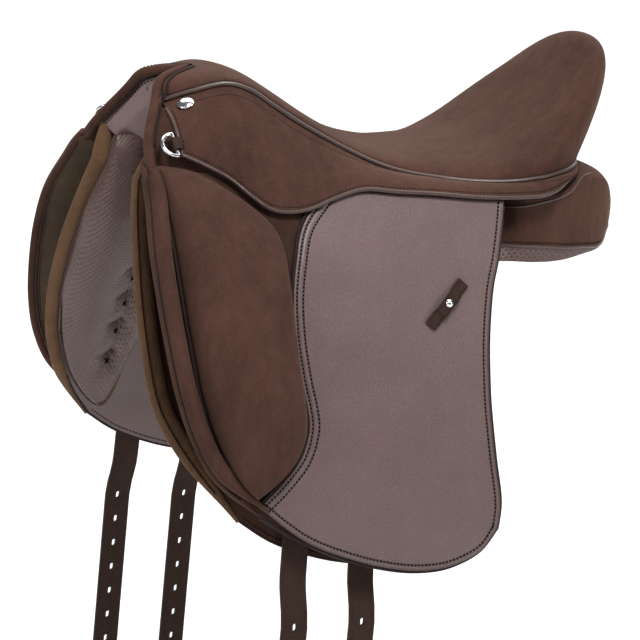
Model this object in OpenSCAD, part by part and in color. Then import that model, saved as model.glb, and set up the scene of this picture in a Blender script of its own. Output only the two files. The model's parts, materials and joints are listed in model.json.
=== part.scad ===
// Dressage saddle. X points forward, Y to the near (left) side and Z up.
// The origin lies on the middle plane, at the level where the panels bear on the back.

/* [Seat] */
// Seat length from the pommel stud to the cantle
seat_length = 444; // [420:1:470]
// Distance of the rim's front end before the origin
front_reach = 230; // [215:1:245]
// Height of the pommel crest
pommel_height = 158; // [150:1:170]
// Height of the deepest point of the seat
seat_height = 87; // [84:1:92]
// Height of the cantle
cantle_height = 194; // [180:1:208]
// Half width of the seat at the pommel crest
pommel_half = 48; // [45:1:54]
// Half width of the seat at its widest
cantle_half = 112; // [108:1:118]
// Thickness of the suede cover with its lining
cover_t = 3; // [2:0.5:4]
// Thickness of the foam under the cover
foam_t = 9; // [7:0.5:11]
// Wall of the tree
tree_t = 6; // [5:0.5:7]
// Drop of the tree's lower edge below the deepest point of the seat
tree_drop = 21; // [18:1:22]
// Diameter of the welt between seat and skirt
welt_d = 4.4; // [3:0.2:5]

/* [Skirt] */
// Greatest drop of the skirt below the rim
skirt_depth = 83; // [76:1:90]
// Thickness of the skirt
skirt_t = 3.5; // [2.5:0.5:5]
// Swell of the skirt between its seams
skirt_bulge = 6; // [4:0.5:8]

/* [Flap] */
// Place of the flap's top front corner
flap_front_x = 259; // [254:1:264]
// Place of the flap's top rear corner
flap_rear_x = -82; // [-92:1:-78]
// Height of the hinge line's front end above the tree's lower edge
hinge_front_up = 13; // [11:1:15]
// Drop of the hinge line's rear end below the tree's lower edge
hinge_rear_down = 5; // [3:1:7]
// Drop of the flap's lowest point below the front of the hinge line
flap_depth = 345; // [330:1:360]
// Thickness of the flap's base sheet
flap_t = 5; // [3.5:0.5:6]
// Thickness of the smooth facing on the flap
facing_t = 2.5; // [1.5:0.5:4]
// Inset of the facing from the flap's edge
facing_inset = 6; // [4:1:10]
// Diameter of the roll along the flap's front edge
roll_d = 10; // [8:1:12]
// Greatest thickness of the knee block
block_t = 34; // [24:1:44]
// Thickness of the knee block at its edge
block_edge = 9; // [5:1:14]

/* [Panel] */
// Half width of the gullet channel between the panels
gullet_half = 34; // [30:1:40]
// Height of the panel's wall beside the channel
gullet_wall = 30; // [24:1:34]
// Swell of the panel towards the back
panel_belly = 13; // [9:1:18]
// Thickness of the sweat flap
sweat_t = 3; // [2:0.5:4]
// Depth of the sewn tufts
tuft_depth = 9; // [5:1:12]
// Radius of a tuft's button
tuft_r = 4; // [3:0.5:5]

/* [Girth straps] */
// Width of a girth strap
strap_w = 25; // [22:1:30]
// Thickness of a girth strap
strap_t = 3.5; // [3:0.5:4]
// Place of the front strap
front_strap_x = 132; // [126:1:138]
// Place of the rear strap
rear_strap_x = 62; // [56:1:68]
// Height of the rivets that the straps swing on above the tree's lower edge
strap_pivot_up = 6; // [5:0.5:7]
// Drop of the first hole below the rivet
first_hole_drop = 386; // [380:1:400]
// Spacing of the holes
hole_pitch = 25; // [22:1:28]
// Number of holes
hole_count = 10; // [7:1:12]
// Width of a hole
hole_w = 4; // [3:0.5:5]
// Length of a hole
hole_l = 7; // [6:0.5:9]
// Length of strap below the last hole
strap_tail = 32; // [25:1:45]
// Radius of the rivet that a strap swings on
rivet_r = 3; // [2.5:0.5:4]

/* [Metal] */
// Length of the stirrup bar's finger
bar_length = 56; // [48:1:62]
// Thickness of the stirrup bar's finger
bar_t = 8; // [6:0.5:9]
// Gap behind the finger for the stirrup leather
bar_gap = 8; // [7:0.5:9]
// Thickness of the stirrup bar's plate
plate_t = 3; // [2:0.5:4]
// Inside width of the dee ring
dee_w = 20; // [16:1:24]
// Wire diameter of the dee ring
dee_wire = 3.6; // [3:0.2:4.4]
// Thickness of the gullet plate
gullet_plate_t = 4; // [3:0.5:5]
// Width of the gullet plate along the saddle
gullet_plate_w = 36; // [28:1:40]
// Length of a pommel stud's oval head
stud_l = 15; // [12:1:18]
// Width of a pommel stud's oval head
stud_w = 10; // [8:1:12]

/* [Hidden] */

// Gap between pieces that lie against each other
gap = 0.4;
// Gap between pieces that move past each other
run = 1;
tree_base = seat_height - tree_drop;
hinge_front_z = tree_base + hinge_front_up;
hinge_rear_z = tree_base - hinge_rear_down;
strap_pivot_z = tree_base + strap_pivot_up;
seat_rows = 26;
seat_cols = 12;
$fn = 48;

// Midline of the seat from the pommel's edge to its dip:
// share of the seat length, share of the rise to the pommel
dip_line = [
    [0.1, 0.985], [0.125, 1], [0.16, 1.005], [0.205, 0.92], [0.265, 0.715],
    [0.34, 0.44], [0.415, 0.215], [0.5, 0.065], [0.6, 0]
];
// Midline from the dip over the cantle to its base: share of the seat length, share of the rise to the cantle
cantle_line = [
    [0.7, 0.03], [0.785, 0.14], [0.87, 0.41], [0.945, 0.75], [1, 0.98], [1.04, 0.93], [1.045, 0.66], [1, 0.1]
];
// Rim of the seat: share of the seat length, share of the widening to the cantle,
// share of the rise to the pommel
rim_line = [
    [0.01, -0.28, 0.67], [0.065, -0.14, 0.81], [0.13, -0.04, 0.92], [0.18, 0.06, 0.86], [0.23, 0.12, 0.68],
    [0.285, 0.19, 0.48], [0.345, 0.25, 0.28], [0.405, 0.33, 0.1], [0.47, 0.39, -0.06], [0.53, 0.44, -0.16],
    [0.6, 0.55, -0.21], [0.67, 0.73, -0.22], [0.74, 0.92, -0.18], [0.805, 1, -0.11], [0.865, 0.84, -0.06],
    [0.91, 0.6, -0.03], [0.945, 0.25, -0.03], [0.97, -0.16, -0.02], [0.98, -0.62, -0.02]
];
// Foot of the tree below each point of the rim: share of the seat length, half width
foot_line = [
    [0.04, 50], [0.08, 54], [0.13, 58], [0.18, 60], [0.23, 60], [0.29, 59], [0.345, 59],
    [0.405, 60], [0.47, 62], [0.53, 66], [0.6, 72], [0.67, 82], [0.74, 92], [0.805, 95],
    [0.86, 86], [0.895, 70], [0.925, 50], [0.94, 29], [0.95, 6]
];
// Skirt's lower edge below each point of the rim: step forward, share of the skirt's greatest drop
skirt_line = [
    [-2, 0.52], [5, 0.72], [12, 0.94], [18, 1.04], [24, 1.01], [30, 0.87], [35, 0.66], [36, 0.4],
    [36, 0.18], [30, 0.11], [24, 0.08], [12, 0.1], [1, 0.13], [-4, 0.16], [-5, 0.14], [-3, 0.14],
    [-2, 0.12], [-2, 0.12], [-2, 0.12]
];
// Flap's front and rear sections: share of the flap's drop, half width of the saddle there
flap_front_section = [
    [-0.06, 57], [0, 77], [0.07, 98], [0.18, 128], [0.29, 149], [0.41, 166], [0.53, 180],
    [0.64, 191], [0.74, 199], [0.81, 204], [0.91, 209], [1.03, 211]
];
flap_rear_section = [
    [-0.06, 90], [0, 108], [0.07, 127], [0.19, 147], [0.28, 160], [0.4, 176], [0.52, 188],
    [0.6, 196], [0.71, 203], [0.81, 207], [0.91, 209], [1.03, 211]
];
// Flap's edges: step from the corner's place, share of the flap's drop
flap_front_edge = [
    [0, 0], [2, 0.07], [7, 0.18], [6, 0.29], [1, 0.41], [-7, 0.53], [-20, 0.64], [-42, 0.74], [-84, 0.835]
];
flap_rear_edge = [
    [0, 0.046], [12, 0.19], [22, 0.28], [29, 0.4], [30, 0.52], [29, 0.6], [24, 0.71], [17, 0.82], [18, 0.893]
];
// Flap's lower edge: share of the way from the front corner to the rear one, share of the flap's drop
flap_low_edge = [
    [0, 0.835], [0.18, 0.905], [0.39, 0.962], [0.56, 0.991], [0.69, 1], [0.81, 0.991], [0.93, 0.954], [1, 0.893]
];
// Heights from here on are counted from the tree's lower edge.
// Facing's front seam: place, height
facing_seam = [
    [92, 0], [120, -28], [132, -57], [139, -89], [140, -123], [136, -157], [131, -182], [130, -200],
    [138, -224], [157, -246], [178, -265]
];
// Knee block's edges: place, height
block_top_edge = [[249, 15], [229, 14], [207, 9], [186, -2], [168, -14], [152, -28]];
block_front_edge = [
    [249, 15], [246, -10], [245, -48], [243, -87], [238, -129], [231, -170],
    [219, -207], [202, -238], [182, -258]
];
block_rear_edge = [[152, -28], [146, -44], [145, -66], [144, -97], [141, -139], [137, -173], [136, -198]];
block_low_edge = [[182, -258], [162, -241], [146, -222], [136, -198]];
// Sweat flap's front and rear sections: height, half width
sweat_front_section = [
    [-346, 180], [-286, 172], [-269, 167], [-246, 152], [-218, 136], [-188, 123], [-146, 109],
    [-104, 91], [-71, 76], [-34, 60], [-4, 49], [24, 40]
];
sweat_rear_section = [
    [-346, 186], [-266, 182], [-216, 176], [-166, 163], [-116, 148], [-66, 126],
    [-46, 109], [-26, 91], [-16, 83],
    [-4, 76], [10, 73], [24, 72]
];
// Sweat flap's edges: place, height
sweat_top_edge = [[246, -6], [180, -9], [100, -10], [10, -11], [-66, -14]];
sweat_front_edge = [
    [246, -6], [250, -34], [253, -71], [254, -104], [252, -146], [245, -188],
    [232, -218], [212, -250], [183, -286]
];
sweat_rear_edge = [[-66, -14], [-58, -56], [-50, -106], [-44, -166], [-43, -226], [-48, -281], [-46, -306]];
sweat_low_edge = [[183, -286], [150, -306], [104, -322], [58, -330], [15, -331], [-22, -324], [-46, -306]];
// Front edge of the pommel below the rim, down to the flap: step from the rim's front end
pommel_line = [[8, 4, -8], [13, 10, -16], [19, 18, -26], [27, 27, -37], [36, 39, -49]];
// Panel's lower edge: place, height
panel_low_line = [
    [-246, -46], [-222, -59], [-190, -67], [-150, -70], [-90, -67], [-30, -62],
    [30, -64], [75, -84], [110, -111], [135, -146],
    [150, -191], [160, -246], [172, -274], [186, -271], [204, -251], [220, -226], [230, -204], [236, -186]
];
// Outside of the panel behind the sweat flap: place, half width
gusset_line = [[-246, 44], [-228, 67], [-196, 90], [-155, 107], [-118, 114], [-75, 110]];
// Tufts sewn into the front of the panel: place, height
tufts = [[198, -127], [198, -155], [197, -186], [195, -221]];

function lerp(a, b, t) = a + (b - a) * t;
function unit(v) = v / norm(v);
function raised(k) = [for (p = k) [p[0], p[1] + tree_base]];
function clamp01(t) = min(1, max(0, t));
function ease(t) = let (c = clamp01(t)) c * c * (3 - 2 * c);

// Point of a smooth curve through the points p, with t from 0 to 1
function along(p, t) =
    let (n = len(p) - 1, f = clamp01(t) * n, i = min(n - 1, floor(f)), u = f - i)
    let (a = p[max(0, i - 1)], b = p[i], c = p[i + 1], d = p[min(n, i + 2)])
    0.5 * (2 * b + (c - a) * u + (2 * a - 5 * b + 4 * c - d) * u * u + (3 * b - a - 3 * c + d) * u * u * u);

// Slope and value of a smooth profile through [place, value] pairs
function slope(k, i) =
    let (a = k[max(0, i - 1)], b = k[min(len(k) - 1, i + 1)]) (b[1] - a[1]) / (b[0] - a[0]);
function at(k, x) =
    let (n = len(k) - 1, c = min(max(x, k[0][0]), k[n][0]))
    let (i = min(n - 1, max([for (j = [0:n]) k[j][0] <= c ? j : 0])), h = k[i + 1][0] - k[i][0])
    let (u = (c - k[i][0]) / h, p = k[i][1], q = k[i + 1][1], m = h * slope(k, i), s = h * slope(k, i + 1))
    p + m * u + (3 * (q - p) - 2 * m - s) * u * u + (2 * (p - q) + m + s) * u * u * u;

// Point inside four edge curves that meet at their ends
function patch(top, low, front, rear, u, v) =
    let (a = along(top, u), b = along(low, u), c = along(front, v), d = along(rear, v))
    let (p = top[0], q = top[len(top) - 1], r = low[0], s = low[len(low) - 1])
    lerp(a, b, v) + lerp(c, d, u) - lerp(lerp(p, q, u), lerp(r, s, u), v);

// Normal of a grid of points, and the grid sunk along it by a depth that may change from point to point
function grid_normal(g, i, j) =
    let (m = len(g) - 1, n = len(g[0]) - 1)
    unit(cross(g[min(i + 1, m)][j] - g[max(i - 1, 0)][j], g[i][min(j + 1, n)] - g[i][max(j - 1, 0)]));
function sink(g, d) =
    [for (i = [0:len(g) - 1]) [for (j = [0:len(g[0]) - 1]) g[i][j] - d(i, j) * grid_normal(g, i, j)]];
function even(d) = function(i, j) d;
function no_lower(g, z) = [for (r = g) [for (p = r) [p[0], p[1], max(p[2], z)]]];
function shift_y(g, d) = [for (r = g) [for (p = r) p + [0, d, 0]]];

// Closed solid between an outer and an inner grid of points
module sandwich(outer, inner) {
    m = len(outer);
    n = len(outer[0]);
    o = function(i, j) i * n + j;
    k = function(i, j) m * n + i * n + j;
    p = concat([for (r = outer) each r], [for (r = inner) each r]);
    h = [floor((m - 1) / 2), floor((n - 1) / 2)];
    a = outer[h[0]][h[1]];
    turn = cross(outer[h[0] + 1][h[1]] - a, outer[h[0]][h[1] + 1] - a) * (a - inner[h[0]][h[1]]) < 0;
    faces = concat(
        [for (i = [0:m - 2], j = [0:n - 2]) each [
            [o(i, j), o(i, j + 1), o(i + 1, j + 1)], [o(i, j), o(i + 1, j + 1), o(i + 1, j)],
            [k(i, j), k(i + 1, j + 1), k(i, j + 1)], [k(i, j), k(i + 1, j), k(i + 1, j + 1)]]],
        [for (j = [0:n - 2]) each [
            [o(0, j + 1), o(0, j), k(0, j)], [o(0, j + 1), k(0, j), k(0, j + 1)],
            [o(m - 1, j), o(m - 1, j + 1), k(m - 1, j + 1)], [o(m - 1, j), k(m - 1, j + 1), k(m - 1, j)]]],
        [for (i = [0:m - 2]) each [
            [o(i, 0), o(i + 1, 0), k(i + 1, 0)], [o(i, 0), k(i + 1, 0), k(i, 0)],
            [o(i + 1, n - 1), o(i, n - 1), k(i, n - 1)], [o(i + 1, n - 1), k(i, n - 1), k(i + 1, n - 1)]]]
    );
    polyhedron(p, turn ? [for (f = faces) [f[0], f[2], f[1]]] : faces);
}

// Round tube along a list of points, with its rings turned about the direction side
module tube(path, r, side, sides = 6) {
    n = len(path);
    rings = [for (i = [0:n - 1])
        let (t = unit(path[min(i + 1, n - 1)] - path[max(i - 1, 0)]), a = unit(cross(t, side)), b = cross(a, t))
        [for (k = [0:sides - 1]) path[i] + r * (cos(360 * k / sides) * a + sin(360 * k / sides) * b)]];
    p = [for (g = rings) each g];
    last = (n - 1) * sides;
    faces = concat(
        [for (i = [0:n - 2], k = [0:sides - 1])
            let (q = (k + 1) % sides, a = i * sides, b = (i + 1) * sides)
            each [[a + k, b + q, b + k], [a + k, a + q, b + q]]],
        [for (k = [1:sides - 2]) [0, k + 1, k]],
        [for (k = [1:sides - 2]) [last, last + k, last + k + 1]]
    );
    polyhedron(p, faces);
}

// The off side is the near side mirrored
module off() mirror([0, 1, 0]) children();

// Places a piece with its x, y and z along three directions at a point
module placed(p, x, y, z)
    multmatrix([
        [x[0], y[0], z[0], p[0]],
        [x[1], y[1], z[1], p[1]],
        [x[2], y[2], z[2], p[2]],
        [0, 0, 0, 1]
    ]) children();

// Extrudes an outline of [y, z] points along X
module along_x(x, length) translate([x, 0, 0]) rotate([90, 0, 90]) linear_extrude(length) children();

// Seat surface
function back(f) = front_reach - seat_length * f;
function rise(h) = lerp(seat_height, pommel_height, h);
function climb(h) = lerp(seat_height, cantle_height, h);
mid_rail = concat(
    [for (p = dip_line) [back(p[0]), 0, rise(p[1])]],
    [for (p = cantle_line) [back(p[0]), 0, climb(p[1])]]
);
rim_rail = [for (p = rim_line) [back(p[0]), lerp(pommel_half, cantle_half, p[1]), rise(p[2])]];
function fullness(t) = lerp(1, 0.9, ease((t - 0.6) / 0.25));
function seat_point(t, s) =
    let (m = along(mid_rail, t), w = along(rim_rail, t), a = 90 * abs(s), full = fullness(t))
    let (q = lerp(ease(sin(a)), 1 - cos(a), ease(t / 0.35)))
    [lerp(m[0], w[0], q), sign(s) * w[1] * pow(sin(a), full), lerp(w[2], m[2], pow(cos(a), full))];
seat_grid = [for (i = [0:seat_rows]) [for (j = [0:seat_cols])
    seat_point(i / seat_rows, 1 - 2 * j / seat_cols)]];
// The layers thin out towards the pommel's edge, the cantle and the rim
function thin(i, s) =
    let (t = i / seat_rows)
    lerp(0.6, 1, ease(t / 0.2)) * lerp(1, 0.55, ease((t - 0.66) / 0.14))
    * lerp(0.6, 1, ease((1 - abs(s)) / 0.35));
function seat_layer(d) = sink(seat_grid, function(i, j) d * thin(i, 1 - 2 * j / seat_cols));

module seat_cover() color("saddlebrown") sandwich(seat_grid, seat_layer(cover_t));

module seat_foam()
    color("khaki")
    sandwich(seat_layer(cover_t + 2 * gap), seat_layer(cover_t + foam_t));

// Tree: a shell under the foam, narrower than the seat at its waist, with walls down to the panels
foot_rail = [for (p = foot_line) [back(p[0]), p[1], tree_base]];
function tree_s(i) =
    let (t = i / seat_rows, w = along(rim_rail, t)[1], f = along(foot_rail, t)[1] + 3)
    asin(pow(min(1, f / w), 1 / fullness(t))) / 90;
tree_line = [for (i = [0:seat_rows]) [for (j = [0:seat_cols])
    seat_point(i / seat_rows, tree_s(i) * (1 - 2 * j / seat_cols))]];
tree_top = sink(tree_line, function(i, j)
    (cover_t + foam_t) * thin(i, tree_s(i) * (1 - 2 * j / seat_cols))
    + gap * lerp(8, 6, ease((i / seat_rows - 0.66) / 0.14)));
wall_steps = 4;
function wall_point(i, k) = lerp(along(foot_rail, i / seat_rows), tree_top[i][0], k);
tree_outer = [for (i = [0:seat_rows]) concat(
    [for (k = [0:wall_steps - 1]) wall_point(i, k / wall_steps)],
    tree_top[i],
    [for (k = [wall_steps - 1:-1:0]) let (p = wall_point(i, k / wall_steps)) [p[0], -p[1], p[2]]]
)];

tree_inner = no_lower(sink(tree_outer, even(tree_t)), tree_base);

module tree() color("dimgray") sandwich(tree_outer, tree_inner);

// Point past the seat's rim, on the way that the seat takes there
function past_rim(t, d) = let (p = seat_point(t, 1)) p + d * unit(p - seat_point(t, 0.88));

// Welt along the seat's rim
module welt()
    color("gray")
    tube([for (i = [0:seat_rows]) past_rim(i / seat_rows, 2.1 * gap + welt_d / 2)], welt_d / 2, [0, 0, 1]);

// Flap surface
function drop(f) = hinge_front_z - flap_depth * f;
function drop_share(z) = (hinge_front_z - z) / flap_depth;
function flap_y(x, z) =
    let (f = (flap_front_x - x) / (flap_front_x - flap_rear_x), q = drop_share(z))
    lerp(at(flap_front_section, q), at(flap_rear_section, q), min(1.1, max(-0.1, f)));
function on_flap(p, d) = [p[0], flap_y(p[0], p[1]) + d, p[1]];

// Skirt from the welt down to its lower edge
function skirt_top(t) = past_rim(t, welt_d + 4.2 * gap);
function skirt_low(t) =
    let (w = along(rim_rail, t), e = along(skirt_line, t), x = w[0] + e[0], z = w[2] - skirt_depth * e[1])
    let (out = skirt_top(t)[1] + 1, laid = flap_y(x, z) + facing_t + 2 * gap + run + 1.6 * skirt_t)
    [x, lerp(out, max(out, laid), ease((x - flap_rear_x + 90) / 60)), z];
function skirt_point(t, v) =
    let (p = skirt_top(t), q = skirt_low(t), n = unit([0, p[2] - q[2], q[1] - p[1]]))
    lerp(p, q, v) + 4 * skirt_bulge * v * (1 - v) * n;
skirt_cols = 6;
skirt_grid = [for (i = [0:seat_rows]) [for (j = [0:skirt_cols])
    skirt_point(i / seat_rows, 1 - j / skirt_cols)]];

module skirt() color("sienna") sandwich(skirt_grid, sink(skirt_grid, even(skirt_t)));

// Flap and what is fixed on it
flap_top = [[flap_front_x, hinge_front_z], [flap_rear_x, hinge_rear_z]];
flap_front = [for (p = flap_front_edge) [flap_front_x + p[0], drop(p[1])]];
flap_rear = [for (p = flap_rear_edge) [flap_rear_x + p[0], drop(p[1])]];
flap_rear_curve = concat([flap_top[1]], [for (i = [1:len(flap_rear) - 1]) flap_rear[i]]);
low_front = flap_front[len(flap_front) - 1];
low_rear = flap_rear[len(flap_rear) - 1];
flap_low = [for (p = flap_low_edge) [lerp(low_front[0], low_rear[0], p[0]), drop(p[1])]];

module sheet_on_flap(top, low, front, rear, d, t, nu, nv) {
    outline = [for (i = [0:nu]) [for (j = [0:nv]) patch(top, low, front, rear, i / nu, j / nv)]];
    sandwich(
        [for (r = outline) [for (p = r) on_flap(p, d + t)]],
        [for (r = outline) [for (p = r) on_flap(p, d)]]
    );
}

module flap()
    color("rosybrown")
    sheet_on_flap(flap_top, flap_low, flap_front, flap_rear_curve, -flap_t, flap_t, 12, 14);

module flap_roll()
    color("saddlebrown")
    tube(
        [for (i = [0:20])
            let (p = along(flap_front, i / 20))
            let (q = along(flap_front, i / 20 + 0.01), o = along(flap_front, i / 20 - 0.01))
            let (e = unit(q - o), r = p + (roll_d / 2 + gap) * [-e[1], e[0]])
            [r[0], flap_y(p[0], p[1]) - flap_t / 2, r[1]]],
        roll_d / 2, [0, 1, 0]
    );

seam = raised(facing_seam);
facing_low = concat(
    [seam[len(seam) - 1]],
    [for (i = [1:len(flap_low) - 2]) flap_low[i] + [0, facing_inset]],
    [low_rear + [facing_inset, 1]]
);
facing_rear = concat(
    [flap_top[1] + [facing_inset, -facing_inset]],
    [for (i = [1:len(flap_rear) - 2]) flap_rear[i] + [facing_inset, 0]],
    [low_rear + [facing_inset, 1]]
);

module facing()
    color("gray")
    sheet_on_flap(
        [seam[0], flap_top[1] + [facing_inset, -facing_inset]],
        facing_low, seam, facing_rear, 2 * gap, facing_t, 10, 13
    );

// Knee block, thickest at its middle
function swell(u) = pow(4 * u * (1 - u), 0.5);
module knee_block() {
    nu = 10;
    nv = 14;
    top = raised(block_top_edge);
    low = raised(block_low_edge);
    front = raised(block_front_edge);
    rear = raised(block_rear_edge);
    place = [for (i = [0:nu]) [for (j = [0:nv]) patch(top, low, front, rear, i / nu, j / nv)]];
    color("saddlebrown")
    sandwich(
        [for (i = [0:nu]) [for (j = [0:nv])
            on_flap(place[i][j], 2 * gap + lerp(block_edge, block_t, swell(i / nu) * swell(j / nv)))]],
        [for (r = place) [for (p = r) on_flap(p, 2 * gap)]]
    );
}

// Keeper for the end of the stirrup leather, and its stud
keeper_x = -11;
keeper_z = tree_base - 94;
keeper_l = 54;
keeper_w = 12;
keeper_t = 3;
keeper_foot = 12;
keeper_lift = 3;
module on_facing(x, z, lift) {
    p = on_flap([x, z], facing_t + 3 * gap + lift);
    a = unit(on_flap([x - 1, z + 1], 0) - on_flap([x + 1, z - 1], 0));
    n = unit(cross(on_flap([x - 1, z - 1], 0) - on_flap([x + 1, z + 1], 0), a));
    placed(p, a, cross(n, a), n) children();
}
module keeper()
    color("maroon")
    on_facing(keeper_x, keeper_z, gap)
    rotate([90, 0, 0])
    linear_extrude(keeper_w, center = true)
    difference() {
        translate([-keeper_l / 2, 0]) square([keeper_l, keeper_t + keeper_lift]);
        translate([keeper_foot - keeper_l / 2, -1]) square([keeper_l - 2 * keeper_foot, keeper_lift + 1]);
    }
module dome(r, h) rotate_extrude() intersection() {
    translate([0, h - (r * r + h * h) / (2 * h)]) circle((r * r + h * h) / (2 * h));
    square([r, h]);
}
module keeper_stud()
    color("silver")
    on_facing(keeper_x, keeper_z, gap)
    translate([0, 0, keeper_t + keeper_lift + gap])
    dome(4, 2.5);

// Pommel stud through the skirt's front corner
module stud() {
    p = skirt_point(0.04, 0.16);
    a = unit(skirt_point(0.06, 0.16) - skirt_point(0.02, 0.16));
    n = unit(cross(a, skirt_point(0.04, 0.06) - skirt_point(0.04, 0.26)));
    ball = 14;
    color("silver")
    placed(p + (gap + 0.4) * n, a, cross(n, a), n)
    intersection() {
        linear_extrude(6) {
            square([stud_l - stud_w, stud_w], center = true);
            for (x = [-1, 1]) translate([x * (stud_l - stud_w) / 2, 0]) circle(stud_w / 2);
        }
        translate([0, 0, 4 - ball]) sphere(ball);
    }
}

// Sweat flap surface
function sweat_y(x, z) =
    let (h = z - tree_base) lerp(at(sweat_rear_section, h), at(sweat_front_section, h), ease((x - 135) / 113));
module sweat_flap() {
    nu = 16;
    nv = 16;
    top = raised(sweat_top_edge);
    low = raised(sweat_low_edge);
    front = raised(sweat_front_edge);
    rear = raised(sweat_rear_edge);
    place = [for (i = [0:nu]) [for (j = [0:nv]) patch(top, low, front, rear, pow(i / nu, 1.35), j / nv)]];
    color("tan")
    sandwich(
        [for (r = place) [for (p = r) [p[0], sweat_y(p[0], p[1]), p[1]]]],
        [for (r = place) [for (p = r) [p[0], sweat_y(p[0], p[1]) - sweat_t, p[1]]]]
    );
}

// Panel: a roof under the tree, an outer wall and a swelling underside
panel_front = 236;
panel_rear = -246;
panel_roof = tree_base - gap;
roof_cols = 4;
wall_cols = 12;
panel_places = [
    panel_front, 233, 228, 220, 212, 205, 198, 191, 184, 177, 170, 163, 156, 148, 138, 124, 106, 84, 58,
    26, -10, -40, -66, -80, -110, -140, -166, -190, -210, -225, -237, panel_rear
];
function panel_y(x, z) =
    lerp(sweat_y(x, z) - sweat_t - 6 * gap, at(gusset_line, x), ease((-72 - x) / 40));
function panel_low(x) = tree_base + at(panel_low_line, x);
// The roof comes down in a round at the rear end
function panel_top(x) =
    let (f = clamp01((panel_rear + 46 - x) / 46), low = panel_low(x) + 4)
    lerp(low, panel_roof, sqrt(1 - f * f));
function panel_shoulder(x) = panel_top(x) - lerp(9, 6, ease((-72 - x) / 40)) * clamp01((x - panel_rear) / 30);
// Fullness of the panel, drawn in at both ends
function panel_full(x) =
    let (f = clamp01((panel_front - x) / 26), r = clamp01((x - panel_rear) / 46))
    lerp(0.3, 1, sqrt(f * (2 - f))) * lerp(0.35, 1, sqrt(r * (2 - r)));
function panel_outside(x, j) =
    let (s = panel_shoulder(x), y = max(gullet_half + 3, panel_y(x, s)), low = panel_low(x))
    j <= roof_cols
        ? [x, lerp(gullet_half, y, j / roof_cols), lerp(panel_top(x), s, pow(j / roof_cols, 3))]
        : let (z = lerp(s, low, (j - roof_cols) / wall_cols)) [x, max(gullet_half + 3, panel_y(x, z)), z];
function panel_underside(x, j) =
    let (e = panel_outside(x, roof_cols + wall_cols))
    let (a = [gullet_half, panel_top(x) - gullet_wall], b = [e[1] - 7, e[2]], d = b - a, n = unit([d[1], -d[0]]))
    let (c = (a + b) / 2 + 2 * panel_belly * n, v = j / (roof_cols + wall_cols))
    let (p = lerp(lerp(a, c, v), lerp(c, b, v), v)) [x, p[0], p[1]];
tuft_places = raised(tufts);
function tuft_pull(x, z) =
    max([for (t = tuft_places) let (d = [x, z] - t) exp(-(d * d) / 130)]);
function panel_inside(x, j) =
    let (o = panel_outside(x, j), p = lerp(o, panel_underside(x, j), panel_full(x)))
    p + tuft_depth * tuft_pull(x, p[2]) * unit(o - p);
module panel()
    color("dimgray")
    sandwich(
        [for (x = panel_places) [for (j = [0:roof_cols + wall_cols]) panel_outside(x, j)]],
        [for (x = panel_places) [for (j = [0:roof_cols + wall_cols]) panel_inside(x, j)]]
    );

// Place on the panel's underside at a height
function tuft_place(x, z) =
    let (n = roof_cols + wall_cols, row = [for (j = [0:n]) panel_inside(x, j)])
    let (k = max([for (j = [1:n - 1]) row[j][2] > z ? j : 0]))
    let (f = (row[k][2] - z) / (row[k][2] - row[k + 1][2]))
    lerp(row[k], row[k + 1], f);
module tuft_buttons()
    color("gray")
    for (t = tuft_places) {
        p = tuft_place(t[0], t[1]);
        n = unit(p - [p[0], sweat_y(p[0], p[2]), p[2] + 20]);
        a = unit(cross(n, [1, 0, 0]));
        placed(p, cross(a, n), a, n) dome(tuft_r, 2);
    }

// Lining over the channel between the panels
module gullet_web()
    color("gray")
    along_x(back(0.94), seat_length * 0.86)
    translate([0, panel_roof - 4])
    square([2 * (gullet_half - gap), 3], center = true);

// Gullet plate: a steel arch inside the tree
arch_half = 48.5;
arch_top = lerp(tree_base, pommel_height, 0.636);
gullet_plate_x = 138;
function arch_point(a, d) = [(arch_half - d) * sin(a), tree_base + 2 + (arch_top - tree_base - 2 - d) * cos(a)];
module gullet_plate()
    color("slategray")
    difference() {
        along_x(gullet_plate_x, gullet_plate_w)
        polygon(concat(
            [for (a = [-90:10:90]) arch_point(a, 0)],
            [for (a = [90:-10:-90]) arch_point(a, gullet_plate_t)]
        ));
        for (x = [0.25, 0.75], a = [-35, 35])
            translate(plate_screw(x, a)) rotate([-a, 0, 0]) cylinder(r = 3.3, h = 20, center = true);
    }
function plate_screw(x, a) =
    let (p = arch_point(a, gullet_plate_t)) [gullet_plate_x + gullet_plate_w * x, p[0], p[1]];
module gullet_screws()
    color("silver")
    for (x = [0.25, 0.75], a = [-35, 35])
        translate(plate_screw(x, a)) rotate([-a, 0, 0]) {
            translate([0, 0, -4]) cylinder(r = 5.5, h = 3);
            translate([0, 0, -1.1]) cylinder(r = 3, h = 14);
        }

// Roll along the pommel's front edge, down to the flap on both sides
function front_edge(s) =
    let (p = seat_point(0, s), f = unit(p - seat_point(0.02, s)))
    let (e = unit(seat_point(0, s + 0.02) - seat_point(0, s - 0.02)))
    let (g = unit(f - (f * e) * e), n = cross(g, e))
    p + (roll_d / 2 + 2 * gap) * g - 2 * n;
pommel_edge = [for (p = pommel_line) rim_rail[0] + p];
pommel_half_path = concat(
    [for (i = [8:-1:0]) along(pommel_edge, i / 8)],
    [for (i = [9:-1:1]) front_edge(i / 10)]
);
pommel_path = concat(
    pommel_half_path,
    [front_edge(0)],
    [for (i = [len(pommel_half_path) - 1:-1:0]) let (p = pommel_half_path[i]) [p[0], -p[1], p[2]]]
);
module pommel_roll() color("saddlebrown") tube(pommel_path, roll_d / 2 - 0.5, [1, 0, 0.3], 8);

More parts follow.
